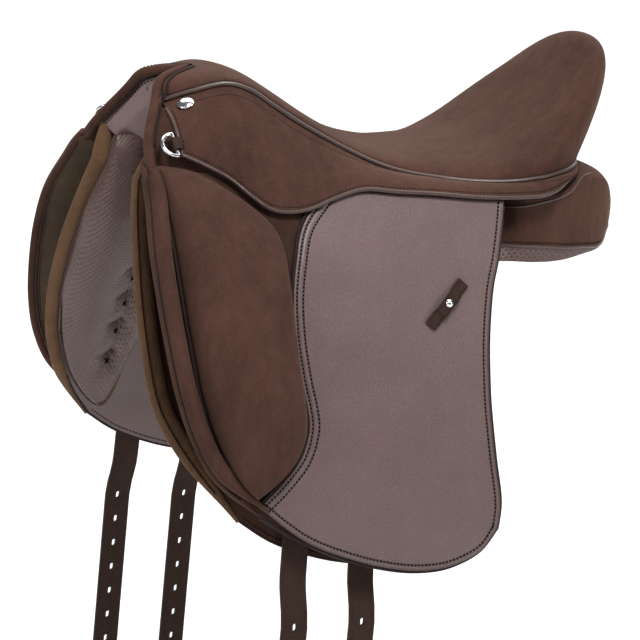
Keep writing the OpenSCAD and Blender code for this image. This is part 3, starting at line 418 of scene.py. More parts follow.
def pommel_path():
    """Line of the roll along the pommel's front edge, from the near flap over the crest to the off flap."""
    s = np.linspace(ROLL_RIM, 0, ROLL_TOP)
    p = seat(0 * s, s)
    f = unit(p - seat(0 * s + 0.02, s))
    e = unit(seat(0 * s, s + 0.02) - seat(0 * s, s - 0.02))
    g = unit(f - np.sum(f * e, axis=-1, keepdims=True) * e)
    top = p + (ROLL_D / 2 + 2 * GAP) * g - 2 * np.cross(g, e)
    half = np.concatenate([trace(np.array(RIM[0]) + ROLL_LINE, ROLL_FOOT, 1, 0), top])
    for _ in range(12):
        half[1:-1] = (half[:-2] + 2 * half[1:-1] + half[2:]) / 4
    return both_ways(half)


# Mesh helpers. Points come in millimetres and are laid into meshes in metres.
def only(obj):
    """Makes obj the one selected and active object."""
    bpy.ops.object.select_all(action="DESELECT")
    obj.select_set(True)
    bpy.context.view_layer.objects.active = obj
    return obj


def link(obj):
    """Puts a new object into the scene."""
    bpy.context.scene.collection.objects.link(obj)
    return obj


def copied(obj, name):
    """A copy of a piece with its own mesh."""
    twin = obj.copy()
    twin.data = obj.data.copy()
    twin.name = twin.data.name = name
    return link(twin)


def joined(pieces, name):
    """The pieces as one, joined into the first."""
    only(pieces[0])
    for piece in pieces[1:]:
        piece.select_set(True)
    bpy.ops.object.join()
    pieces[0].name = pieces[0].data.name = name
    return pieces[0]


def points_of(mesh):
    """The mesh's points as rows of an array."""
    co = np.zeros(len(mesh.vertices) * 3)
    mesh.vertices.foreach_get("co", co)
    return co.reshape(-1, 3)


def set_points(mesh, co):
    """Moves the mesh's points."""
    mesh.vertices.foreach_set("co", np.asarray(co, np.float32).ravel())
    mesh.update()


def measure(line):
    """Distance of each point along a line."""
    return np.concatenate([[0], np.cumsum(np.linalg.norm(np.diff(line, axis=0), axis=1))])


def sheet(name, points, out=None, marks=None):
    """A grid laid on rows of points, with a map in metres; marks are further values for each point."""
    rows, cols = points.shape[:2]
    bpy.ops.object.select_all(action="DESELECT")
    bpy.ops.mesh.primitive_grid_add(x_subdivisions=cols - 1, y_subdivisions=rows - 1, size=2)
    obj = bpy.context.object
    obj.name = obj.data.name = name
    mesh = obj.data
    co = points_of(mesh)
    i = np.rint((co[:, 1] + 1) / 2 * (rows - 1)).astype(int)
    j = np.rint((co[:, 0] + 1) / 2 * (cols - 1)).astype(int)
    set_points(mesh, points[i, j] * MM)
    u = np.linalg.norm(np.diff(points, axis=1), axis=2).cumsum(axis=1)
    u = np.concatenate([np.zeros((rows, 1)), u], axis=1)
    v = measure(points[:, cols // 2])
    index = np.zeros(len(mesh.loops), int)
    mesh.loops.foreach_get("vertex_index", index)
    uv = np.stack([u[i, j][index], v[i][index]], axis=1) * MM
    mesh.uv_layers[0].data.foreach_set("uv", uv.astype(np.float32).ravel())
    for key, values in (marks or {}).items():
        mark = mesh.attributes.new(key, "FLOAT", "POINT")
        mark.data.foreach_set("value", values[i, j].astype(np.float32))
    if out is not None:
        turn(obj, out)
    bpy.ops.object.shade_smooth()
    return obj


def turn(obj, out):
    """Turns the faces of a sheet so that they look along out."""
    normals = np.array([p.normal * p.area for p in obj.data.polygons])
    if np.sum(normals @ np.asarray(out, float)) < 0:
        obj.data.flip_normals()


def closed(obj):
    """Merges a rolled-up sheet along its seam, closes its ends and smooths it."""
    only(obj)
    bpy.ops.object.mode_set(mode="EDIT")
    bpy.ops.mesh.select_all(action="SELECT")
    bpy.ops.mesh.remove_doubles(threshold=1e-6)
    bpy.ops.mesh.fill_holes(sides=0)
    bpy.ops.mesh.select_all(action="SELECT")
    bpy.ops.mesh.normals_make_consistent(inside=False)
    bpy.ops.object.mode_set(mode="OBJECT")
    bpy.ops.object.shade_smooth()
    return obj


def modify(obj, kind, **settings):
    """Adds a modifier and applies it."""
    only(obj)
    mod = obj.modifiers.new(kind.title(), kind)
    for key, value in settings.items():
        setattr(mod, key, value)
    bpy.ops.object.modifier_apply(modifier=mod.name)
    return obj


def thicken(obj, t, edge=0.6, inner=0, rim=0):
    """Gives a sheet its thickness behind its face, with rounded edges; inner and rim are finish slots."""
    while len(obj.data.materials) <= max(inner, rim):
        obj.data.materials.append(None)
    slots = {"material_offset": inner, "material_offset_rim": rim}
    modify(obj, "SOLIDIFY", thickness=t * MM, offset=-1, use_even_offset=True, **slots)
    if edge:
        modify(obj, "BEVEL", width=edge * MM, segments=2, limit_method="ANGLE", angle_limit=math.radians(60))
    return obj


def tube(name, path, radius, sides=8, flat=1.0, side=OUTWARD):
    """A round or flattened roll along a path."""
    t = unit(np.gradient(path, axis=0))
    a = unit(np.cross(t, np.asarray(side, float)))
    b = np.cross(a, t)
    turns = np.linspace(0, 2 * np.pi, sides + 1)
    r = np.broadcast_to(np.asarray(radius, float), (len(path),))[:, None, None]
    ring = np.cos(turns)[None, :, None] * a[:, None] + flat * np.sin(turns)[None, :, None] * b[:, None]
    return closed(sheet(name, path[:, None] + r * ring))


def resample(path, pitch, start=0.5):
    """Evenly spaced places along a path: point numbers with fractions."""
    length = measure(path)
    count = max(2, int((length[-1] - 2 * start) / pitch))
    return np.interp(start + pitch * (np.arange(count) + 0.5), length, np.arange(len(path)))


def pick(values, k):
    """Values at point numbers with fractions."""
    i = np.clip(np.floor(k).astype(int), 0, len(values) - 2)
    return lerp(values[i], values[i + 1], (k - i)[:, None])


STITCH = {}


def stitch_form():
    """One stitch: a short rounded bar, modelled once."""
    if not STITCH:
        bpy.ops.object.select_all(action="DESELECT")
        bpy.ops.mesh.primitive_uv_sphere_add(segments=6, ring_count=4, radius=1, rotation=(0, math.pi / 2, 0))
        obj = bpy.context.object
        bpy.ops.object.transform_apply(location=False, rotation=True, scale=False)
        STITCH["co"] = points_of(obj.data)
        # A sphere's faces come in no fixed order, so they are sorted
        STITCH["faces"] = sorted(list(p.vertices) for p in obj.data.polygons)
        bpy.data.objects.remove(obj)
    return STITCH["co"], STITCH["faces"]


def stitches(name, path, normal, pitch, length, width, slant=0.18, lift=0.1):
    """A row of stitches along a path that lies on a surface with these normals."""
    co, faces = stitch_form()
    k = resample(path, pitch)
    p, n = pick(path, k), unit(pick(normal, k))
    t = unit(pick(np.gradient(path, axis=0), k))
    b = unit(np.cross(n, t))
    t = unit(t + slant * b)
    b = np.cross(n, t)
    body = co * (length / 2, width / 2, width / 2)
    verts = (p + lift * n)[:, None] + body[:, :1] * t[:, None] + body[:, 1:2] * b[:, None] + body[:, 2:] * n[:, None]
    faces = [[v + row * len(co) for v in face] for row in range(len(k)) for face in faces]
    mesh = bpy.data.meshes.new(name)
    mesh.from_pydata((verts.reshape(-1, 3) * MM).tolist(), [], faces)
    obj = only(link(bpy.data.objects.new(name, mesh)))
    bpy.ops.object.shade_smooth()
    return obj


def sewn(name, path, normal, **settings):
    """Stitches with the user's pitch, length and thread."""
    sizes = bpy.context.scene.saddle_sizes
    use = {"pitch": sizes.stitch_pitch, "length": sizes.stitch_length, "width": sizes.thread, **settings}
    return stitches(name, path, normal, **use)


def softened(node, name, bevel=0.6):
    """A copy of a flat CAD piece with its edges rounded over."""
    obj = copied(frame["nodes"][node], name)
    obj.parent = None
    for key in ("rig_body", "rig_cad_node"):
        if key in obj:
            del obj[key]
    obj.hide_render = obj.hide_viewport = False
    obj.data.materials.clear()
    only(obj)
    bpy.ops.object.mode_set(mode="EDIT")
    bpy.ops.mesh.select_all(action="SELECT")
    bpy.ops.mesh.remove_doubles(threshold=1e-6)
    bpy.ops.mesh.dissolve_limited(angle_limit=math.radians(1))
    bpy.ops.object.mode_set(mode="OBJECT")
    if bevel:
        modify(obj, "BEVEL", width=bevel * MM, segments=2, limit_method="ANGLE", angle_limit=math.radians(40))
    only(obj)
    bpy.ops.object.shade_smooth_by_angle(angle=math.radians(35))
    return obj


def other_side(obj, name):
    """The same piece on the off side, as its mirror image."""
    twin = copied(obj, name)
    set_points(twin.data, points_of(twin.data) * (1, -1, 1))
    twin.data.flip_normals()
    return twin


def paint(obj, finishes):
    """Puts finishes into the slots of a piece."""
    slots = obj.data.materials
    for index, name in enumerate(finishes):
        if index < len(slots):
            slots[index] = finish(name)
        else:
            slots.append(finish(name))


def dress(obj, body, finishes, replaces=()):
    """Gives a piece its finishes, its body and the solids that it stands for."""
    paint(obj, finishes)
    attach(obj, body)
    if replaces:
        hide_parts(*replaces)


def twins(obj):
    """Side, piece and sign of a near piece and of its mirror image on the off side."""
    return zip(SIDES, (obj, other_side(obj, obj.name.replace("near", "off"))), (1, -1))


def pair(obj, body, finishes, replaces=()):
    """Dresses a near piece and its off twin; {} stands for the side in the names."""
    for side, piece, _ in twins(obj):
        dress(piece, body.format(side), finishes, [n.format(side) for n in replaces])


def cord(name, path, radius, body, hide, sides=8):
    """A thin roll of trim on both sides."""
    pair(tube(name, path, radius, sides), body, [hide])


def sew(name, path, normal, body, thread="thread_brown", **settings):
    """A stitch row on both sides."""
    pair(sewn(name, path, normal, **settings), body, [thread])


HINGE = np.array([(FLAP_FRONT, HINGE_OUT[0], HINGE_FRONT), (FLAP_REAR, HINGE_OUT[1], HINGE_REAR)])


def hang(obj, finishes, replaces=()):
    """Paints a skirt piece and its off twin, bakes their placement into their meshes and hides the solids that they
    stand for.
    """
    axis = unit(HINGE[0] - HINGE[1])
    down = unit(np.array([0, 0, -1]) + axis[2] * axis)
    for side, piece, sign in twins(obj):
        paint(piece, finishes)
        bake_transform(piece)
        if replaces:
            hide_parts(*[n.format(side) for n in replaces])


# Finishes, made when they are first asked for
FINISHES = {}


class Finish:
    """A procedural material, built node by node on the piece's own coordinates."""

    def __init__(self, name, colour, **sockets):
        self.material = bpy.data.materials.new(name)
        self.material.use_nodes = True
        self.material.diffuse_color = (*colour, 1)
        self.tree = self.material.node_tree
        self.shader = self.tree.nodes["Principled BSDF"]
        self.set("Base Color", (*colour, 1))
        for key, value in sockets.items():
            self.set(key.replace("_", " "), value)
        self.place = self.node("ShaderNodeTexCoord")

    def set(self, key, value):
        """Sets a value of the shader."""
        self.shader.inputs[key].default_value = value

    def node(self, kind, values=None, **settings):
        """A new node with its inputs set or linked."""
        made = self.tree.nodes.new(kind)
        for key, value in settings.items():
            setattr(made, key, value)
        for key, value in (values or {}).items():
            if isinstance(value, bpy.types.NodeSocket):
                self.tree.links.new(value, made.inputs[key])
            else:
                made.inputs[key].default_value = value
        return made

    def to(self, key, socket):
        """Links a socket to the shader."""
        self.tree.links.new(socket, self.shader.inputs[key])

    def noise(self, scale, detail=3.0, rough=0.55, stretch=None):
        """Cloudy noise, stretched along an axis if asked."""
        where = self.place.outputs["Object"]
        if stretch:
            where = self.node("ShaderNodeMapping", {"Vector": where, "Scale": stretch}).outputs["Vector"]
        values = {"Vector": where, "Scale": scale, "Detail": detail, "Roughness": rough}
        return self.node("ShaderNodeTexNoise", values).outputs["Fac"]

    def cells(self, scale):
        """Rounded cells, as in a pebbled grain."""
        values = {"Vector": self.place.outputs["Object"], "Scale": scale}
        return self.node("ShaderNodeTexVoronoi", values, feature="SMOOTH_F1").outputs["Distance"]

    def math(self, how, a, b=0.0):
        """One step of arithmetic."""
        return self.node("ShaderNodeMath", {0: a, 1: b}, operation=how).outputs[0]

    def sum(self, *parts):
        """Sum of (value, weight) parts."""
        weighed = [self.math("MULTIPLY", value, weight) for value, weight in parts]
        total = weighed[0]
        for part in weighed[1:]:
            total = self.math("ADD", total, part)
        return total

    def mark(self, name):
        """A value that a sheet keeps at its points."""
        return self.node("ShaderNodeAttribute", attribute_name=name).outputs["Fac"]

    def near(self, value, centre, width):
        """1 where the value is at the centre, falling smoothly to 0 at the width."""
        off = self.math("ABSOLUTE", self.math("SUBTRACT", value, centre))
        values = {"Value": off, "From Min": 0.0, "From Max": width, "To Min": 1.0, "To Max": 0.0}
        return self.node("ShaderNodeMapRange", values, interpolation_type="SMOOTHSTEP").outputs["Result"]

    def ramp(self, value, *stops):
        """A colour for each value."""
        made = self.node("ShaderNodeValToRGB", {"Fac": value})
        band = made.color_ramp.elements
        while len(band) < len(stops):
            band.new(0.5)
        for element, (position, colour) in zip(band, stops):
            element.position = position
            element.color = (*colour, 1)
        return made.outputs["Color"]

    def mix(self, share, a, b):
        """A share of b over a."""
        made = self.node("ShaderNodeMix", data_type="RGBA")
        for key, value in ((0, share), (6, a), (7, b)):
            if isinstance(value, bpy.types.NodeSocket):
                self.tree.links.new(value, made.inputs[key])
            else:
                made.inputs[key].default_value = value if key == 0 else (*value, 1)
        return made.outputs[2]

    def bump(self, height, distance, strength=1.0):
        """Relief in the surface."""
        made = self.node("ShaderNodeBump", {"Height": height, "Strength": strength, "Distance": distance})
        self.to("Normal", made.outputs["Normal"])


def shade(colour, k):
    """A lighter or darker colour."""
    return tuple(max(0.0, min(1.0, c * k)) for c in colour[:3])


def suede(name, colour, nap=(0.55, 0.36, 0.24)):
    """Brushed hide: soft patches where the nap lies differently, and a fine velvety tooth."""
    f = Finish(name, colour, Roughness=0.95, Sheen_Weight=0.16, Sheen_Roughness=0.4, Sheen_Tint=(*nap, 1))
    f.set("Specular IOR Level", 0.15)
    patches = f.noise(16, 4, 0.6, (1.0, 1.0, 0.55))
    streaks = f.noise(95, 4, 0.65, (1.0, 1.0, 0.4))
    tooth = f.noise(820, 3, 0.7)
    lay = f.sum((patches, 0.34), (streaks, 0.26), (tooth, 0.4))
    f.to("Base Color", f.ramp(lay, (0.37, shade(colour, 0.6)), (0.5, colour), (0.64, shade(colour, 1.42))))
    f.bump(f.sum((tooth, 1.0), (streaks, 0.6)), 0.0005, 0.6)
    return f


def grained(name, colour, rough=0.42, grain=820, depth=0.00022, gloss=0.4):
    """Finished hide with a fine pebbled grain."""
    f = Finish(name, colour, Roughness=rough)
    f.set("Specular IOR Level", gloss)
    pebble, tone, speck = f.cells(grain), f.noise(22, 3), f.noise(1900, 2, 0.7)
    lay = f.sum((pebble, 0.5), (tone, 0.35), (speck, 0.3))
    f.hide = f.ramp(lay, (0.36, shade(colour, 0.84)), (0.52, colour), (0.72, shade(colour, 1.22)))
    f.height = f.math("SUBTRACT", 0.6, pebble)
    f.depth = depth
    f.to("Base Color", f.hide)
    f.to("Roughness", f.math("ADD", f.math("MULTIPLY", speck, 0.22), rough - 0.1))
    f.bump(f.height, depth)
    return f


def stitched_hide(name, colour):
    """Flap facing: grained hide with pressed stitch channels along its edges and a raised band between two of them."""
    f = grained(name, colour, 0.4)
    seam, edge = f.mark("seam"), f.mark("edge")
    channel = f.math("MAXIMUM", f.near(seam, SEAM_ROW, 1.3), f.near(seam, BAND_ROW, 1.3))
    channel = f.math("MAXIMUM", channel, f.near(edge, RIM_ROW, 1.4))
    band = f.near(seam, (SEAM_ROW + BAND_ROW) / 2, 2.6)
    f.to("Base Color", f.mix(f.math("MULTIPLY", channel, 0.45), f.hide, shade(colour, 0.25)))
    f.bump(f.sum((f.height, f.depth / MM), (band, 0.7), (channel, -0.7)), MM)
    return f


def perforated(name, colour, pitch=0.0064, hole=0.15):
    """Panel hide with staggered rows of small punched holes, laid on the piece's own map."""
    f = grained(name, colour, 0.38, 700)
    mask = None
    for shift in (0.0, 0.5):
        rows = {"Location": (shift, shift, 0), "Scale": (1 / pitch, 1 / pitch, 0)}
        cell = f.node("ShaderNodeMapping", {"Vector": f.place.outputs["UV"], **rows})
        part = f.node("ShaderNodeVectorMath", {0: cell.outputs["Vector"]}, operation="FRACTION")
        off = f.node("ShaderNodeVectorMath", {0: part.outputs[0], 1: (0.5, 0.5, 0)}, operation="SUBTRACT")
        flat = f.node("ShaderNodeVectorMath", {0: off.outputs[0], 1: (1, 1, 0)}, operation="MULTIPLY")
        far = f.node("ShaderNodeVectorMath", {0: flat.outputs[0]}, operation="LENGTH").outputs["Value"]
        dot = f.near(far, 0.0, hole * 1.5)
        mask = dot if mask is None else f.math("MAXIMUM", mask, dot)
    f.to("Base Color", f.mix(mask, f.hide, shade(colour, 0.12)))
    f.bump(f.sum((f.height, f.depth / MM), (mask, -0.7)), MM)
    return f


def polished(name, colour, rough, streak=0.0):
    """Bare metal with fine wear marks."""
    f = Finish(name, colour, Metallic=1.0, Roughness=rough)
    wear = f.noise(260, 4, 0.6, (1.0, 1.0, 6.0) if streak else None)
    f.to("Roughness", f.math("ADD", f.math("MULTIPLY", wear, 0.16 + streak), rough - 0.06))
    f.to("Base Color", f.ramp(wear, (0.35, shade(colour, 0.86)), (0.65, colour)))
    f.bump(wear, 0.00004, 0.5)
    return f


def cloth(name, colour, pitch, fuzz=0.0):
    """Woven web or thread: crossed ribs and a little fluff."""
    f = Finish(name, colour, Roughness=0.9, Sheen_Weight=fuzz)
    f.set("Specular IOR Level", 0.1)
    values = {"Vector": f.place.outputs["Object"], "Scale": 1 / pitch / 6.3, "Distortion": 0.6}
    ribs = [f.node("ShaderNodeTexWave", values, bands_direction=way).outputs["Fac"] for way in ("X", "Z")]
    weave = f.math("MULTIPLY", *ribs)
    lay = f.sum((weave, 1.0), (f.noise(600, 3), 0.5))
    f.to("Base Color", f.ramp(lay, (0.1, shade(colour, 0.6)), (1, shade(colour, 1.2))))
    f.bump(weave, 0.0003)
    return f


def moulded(name, colour):
    """Moulded or foamed core material with a pitted skin."""
    f = Finish(name, colour, Roughness=0.7)
    pits = f.cells(450)
    f.to("Base Color", f.ramp(pits, (0.0, shade(colour, 0.7)), (0.5, colour)))
    f.bump(pits, 0.0003)
    return f


def finish(name):
    """The saddle's finish of that name, made when it is first asked for."""
    if name not in FINISHES:
        c = bpy.context.scene.saddle_colours
        make = {
            "suede": lambda: suede("brown_suede", c.suede),
            # The suede at 0.72 of its colour: painted shade for pieces that sit in shadow (head under the skirt, flap's
            # outer face and rim, sweat flap's outer face)
            "suede_painted_shade": lambda: suede("painted_shade_suede", shade(c.suede, 0.72)),
            "suede_tan": lambda: suede("tan_suede", c.tan, (0.7, 0.5, 0.3)),
            "lining": lambda: suede("flap_lining", c.lining, (0.5, 0.45, 0.3)),
            "facing": lambda: stitched_hide("flap_hide", c.facing),
            "smooth": lambda: grained("smooth_hide", c.facing, rough=0.36, grain=1100, depth=0.00012),
            # The facing's hide made 1.35 times lighter: painted light on the arch's inside, which faces away from the
            # lamps
            "arch": lambda: grained("arch_hide", shade(c.facing, 1.35), rough=0.36, grain=900, depth=0.00015),
            "panel": lambda: perforated("panel_hide", c.panel),
            "welt": lambda: grained("welt_hide", c.welt, rough=0.3, grain=600, depth=0.0001),
            "piping": lambda: grained("piping_hide", c.piping, rough=0.5, grain=600, depth=0.0001, gloss=0.06),
            "strap": lambda: grained("strap_hide", c.strap, rough=0.55, grain=500, depth=0.0002, gloss=0.06),
            "thread": lambda: cloth("dark_thread", c.thread, pitch=0.0006),
            "thread_brown": lambda: cloth("brown_thread", c.thread_brown, pitch=0.0006),
            "web": lambda: cloth("web", (0.2, 0.12, 0.07), pitch=0.0018, fuzz=0.2),
            "foam": lambda: moulded("foam", (0.55, 0.47, 0.28)),
            "tree": lambda: moulded("tree_shell", (0.05, 0.05, 0.05)),
            "steel": lambda: polished("steel", (0.5, 0.5, 0.52), rough=0.34, streak=0.12),
            "chrome": lambda: polished("bright_metal", (0.8, 0.8, 0.82), rough=0.14),
            "floor": lambda: moulded("floor", (0.9, 0.9, 0.9)),
        }
        FINISHES[name] = make[name]().material
    return FINISHES[name]


# Sizes and colours that a user would change
class SaddleSizes(bpy.types.PropertyGroup):
    """Sizes of the sewing and trim."""

    stitch_pitch: bpy.props.FloatProperty(
        name="Stitch pitch", description="Distance between the facing's stitches, in mm", default=3.6, min=2.5, max=6
    )
    stitch_length: bpy.props.FloatProperty(
        name="Stitch length", description="Length of one stitch, in millimetres", default=2.5, min=1.5, max=5
    )
    thread: bpy.props.FloatProperty(
        name="Thread", description="Thickness of the sewing thread, in millimetres", default=1.4, min=0.4, max=2.0
    )
    piping: bpy.props.FloatProperty(
        name="Piping", description="Radius of the fine piping, in millimetres", default=1.3, min=0.8, max=2
    )
    floor_drop: bpy.props.FloatProperty(
        name="Floor", description="Height of the studio floor", default=-0.62, unit="LENGTH"
    )


def colour(name, what, value):
    """A colour that a user can change."""
    return bpy.props.FloatVectorProperty(
        name=name, description="Colour of " + what, subtype="COLOR", size=3, min=0, max=1, default=value
    )


class SaddleColours(bpy.types.PropertyGroup):
    """Colours of the hides, threads and linings."""

    suede: colour("Suede", "the seat, skirts and knee blocks", (0.055, 0.0255, 0.0185))
    tan: colour("Tan suede", "the sweat flap's front edge", (0.105, 0.058, 0.032))
    lining: colour("Lining", "the flap's inside", (0.112, 0.078, 0.052))
    facing: colour("Facing", "the smooth flap hide", (0.112, 0.073, 0.071))
    panel: colour("Panel", "the perforated panel hide", (0.094, 0.056, 0.049))
    welt: colour("Welt", "the welt and the skirt's bound edge", (0.062, 0.038, 0.032))
    piping: colour("Piping", "the dark piping", (0.022, 0.014, 0.014))
    strap: colour("Strap", "the girth straps and keepers", (0.032, 0.018, 0.014))
    thread: colour("Dark thread", "the facing's stitching", (0.006, 0.005, 0.005))
    thread_brown: colour("Brown thread", "the suede's stitching", (0.030, 0.018, 0.013))


class SaddleStage(bpy.types.Operator):
    """Sets the camera, the soft lights and a plain pale floor"""

    bl_idname = "saddle.stage"
    bl_label = "Stage"

    def execute(self, context):
        scene = context.scene
        yaw, pitch, roll = (math.radians(angle) for angle in CAMERA_TURN)
        back = Vector((math.sin(yaw) * math.cos(pitch), math.cos(yaw) * math.cos(pitch), math.sin(pitch)))
        right = Vector((-math.cos(yaw), math.sin(yaw), 0))
        up = back.cross(right)
        x = right * math.cos(roll) + up * math.sin(roll)
        y = up * math.cos(roll) - right * math.sin(roll)
        lens = bpy.data.cameras.new("camera")
        lens.sensor_width = SENSOR
        lens.lens = SENSOR * FOCAL
        lens.clip_end = 60
        camera = link(bpy.data.objects.new("camera", lens))
        camera.matrix_world = Matrix((x, y, back)).transposed().to_4x4()
        camera.location = Vector(CAMERA_AIM) + back * CAMERA_DISTANCE
        scene.camera = camera
        bpy.ops.object.select_all(action="DESELECT")
        bpy.ops.mesh.primitive_grid_add(x_subdivisions=4, y_subdivisions=4, size=FLOOR_SIZE)
        floor = context.object
        floor.name = "floor"
        floor.location.z = scene.saddle_sizes.floor_drop
        paint(floor, ["floor"])
        world = bpy.data.worlds.new("studio")
        world.use_nodes = True
        sky = world.node_tree.nodes["Background"].inputs
        sky["Color"].default_value = (1, 1, 1, 1)
        sky["Strength"].default_value = SKY_STRENGTH
        scene.world = world
        scene.view_settings.view_transform = "Standard"
        for name, place, size, power in LIGHTS:
            light = bpy.data.lights.new(name, "AREA")
            light.size = size
            light.energy = power
            lamp = link(bpy.data.objects.new(name, light))
            lamp.location = place
            lamp.rotation_euler = (Vector(LIGHT_AIM) - Vector(place)).to_track_quat("-Z", "Y").to_euler()
        return {"FINISHED"}


class SaddleSeat(bpy.types.Operator):
    """Lays the suede seat over its foam, with the welts, the pommel's roll and its linings"""

    bl_idname = "saddle.seat"
    bl_label = "Seat"

    def execute(self, context):
        t, s = lattice(np.linspace(0, 1, 121), np.linspace(1, -1, 61))
        cover = sheet("seat", seat(t, s), UPWARD)
        thicken(cover, COVER_T, 0.5)
        dress(cover, "saddle", ["suede"], ["seat_cover"])
        t, s = lattice(np.linspace(0.01, 0.99, 61), np.linspace(0.97, -0.97, 37))
        grid = seat(t, s)
        n = unit(np.cross(np.gradient(grid, axis=0), np.gradient(grid, axis=1)))
        n *= np.sign(np.sum(n[:, n.shape[1] // 2] * UPWARD))
        thin = lerp(0.6, 1, ease(t / 0.2)) * lerp(1, 0.55, ease((t - 0.66) / 0.14))
        thin = thin * lerp(0.6, 1, ease((1 - np.abs(s)) / 0.35))
        foam = sheet("seat_pad", grid - (FOAM_DEPTH * thin)[..., None] * n, UPWARD)
        thicken(foam, FOAM_T)
        dress(foam, "saddle", ["foam"], ["seat_foam"])
        welt = past_rim(np.linspace(0, 1, 200), 2.1 * GAP + WELT_D / 2)
        welt = tube("near_seat_welt", welt, WELT_D / 2, 10, side=UPWARD)
        pair(welt, "saddle", ["welt"], ["{}_welt"])
        roll = pommel_path()
        band = tube("pommel_band", roll, ROLL_D / 2 - 0.5, 14, side=ROLL_SIDE)
        dress(band, "saddle", ["suede"], ["pommel_roll"])
        self.trim(roll, context.scene.saddle_sizes.piping)
        self.head()
        self.arch(roll)
        return {"FINISHED"}

    def trim(self, roll, piping):
        """Dark piping and a stitch row behind the roll."""
        foot = roll[5:ROLL_FOOT] + (-5.4, 1.4, 0)
        top = seat(0.012, np.linspace(ROLL_RIM, 0, ROLL_TOP)) + (0, 0.2, 0.4)
        line = both_ways(np.concatenate([foot, top]))
        dress(tube("pommel_piping", line, piping, side=ROLL_SIDE), "saddle", ["piping"])
        normal = unit(line - (0, 0, 60))
        row = sewn("pommel_stitches", line + (3.4, 0, 0) + 1.6 * normal, normal, pitch=FINE_PITCH)
        dress(row, "saddle", ["thread_brown"])

    def head(self):
        """The suede between the roll, the seat and the skirt's front edge, tucked in at its low end, in the darker
        suede that paints the shade of the recess behind the roll.
        """
        tuck = 0.33
        u, j = lattice(np.linspace(0, 1, 17), np.linspace(-tuck, 1, 33))
        push = np.clip(-j / tuck, 0, 1)
        edge = along(np.array(RIM[0]) + POMMEL_LINE, 0.75 * (1 - j))
        edge = edge - (ROLL_D / 2 + 0.8, 0, 0) - stack(0, 0, 10 * push)
        under = skirt(0.11 * np.clip(2 * u - 1, 0, 1), np.clip(lerp(0.95, 0.2, j), 0, 1))
        under = under - stack(0, SKIRT_T + 1 + 4 * push, 26 * push)
        grid = np.where((u < 0.5)[..., None], lerp(edge, under, np.clip(2 * u, 0, 1)[..., None]), under)
        head = sheet("near_head_suede", grid, OUTWARD)
        thicken(head, COVER_T, 0)
        pair(head, "saddle", ["suede_painted_shade"], ["{}_head_cover"])

    def arch(self, roll):
        """Smooth lining inside the front arch, sewn under the roll."""

        def whole(points, t):
            """Line round the arch from the near to the off side."""
            p = along(points, 1 - np.abs(2 * t - 1))
            return stack(p[..., 0], np.sign(0.5 - t + 1e-9) * p[..., 1], lerp(BASE, POMMEL, p[..., 2]))

        def under_roll(t):
            """Line along the underside of the roll."""
            d = measure(roll)
            p = np.stack([np.interp(lerp(0.1, 0.9, t) * d[-1], d, roll[:, k]) for k in range(3)], axis=-1)
            way = unit(stack(0, -p[..., 1], 70 - p[..., 2]))
            return p + 3.2 * way - (3, 0, 0)

        t, v = lattice(np.linspace(0, 1, 121), np.linspace(0, 1, 21))
        near, far = np.clip(v / 0.5, 0, 1)[..., None], np.clip(v / 0.5 - 1, 0, 1)[..., None]
        inner = lerp(0.08, 0.92, t)
        grid = lerp(lerp(under_roll(t), whole(ARCH_FRONT, inner), near), whole(ARCH_REAR, inner), far)
        lining = sheet("pommel_lining", grid, (0.6, 0, -1))
        thicken(lining, LINING_T, 0.5)
        dress(lining, "saddle", ["arch"], ["pommel_facing"])
        t = np.linspace(0.02, 0.98, 160)
        edge = under_roll(t)
        inward = unit(whole(ARCH_FRONT, t) - edge)
        face = unit(np.cross(np.gradient(edge, axis=0), inward))
        face *= np.sign(np.sum(face * unit(stack(0 * t, -edge[:, 1], 60 - edge[:, 2])), axis=1, keepdims=True))
        binding = tube("pommel_binding", edge + 2.2 * inward + 0.3 * face, 1.2, side=(1, 0, 0.2))
        dress(binding, "saddle", ["piping"])
        row = sewn("pommel_lining_stitches", edge + 5 * inward, face, pitch=FINE_PITCH)
        dress(row, "saddle", ["thread"])


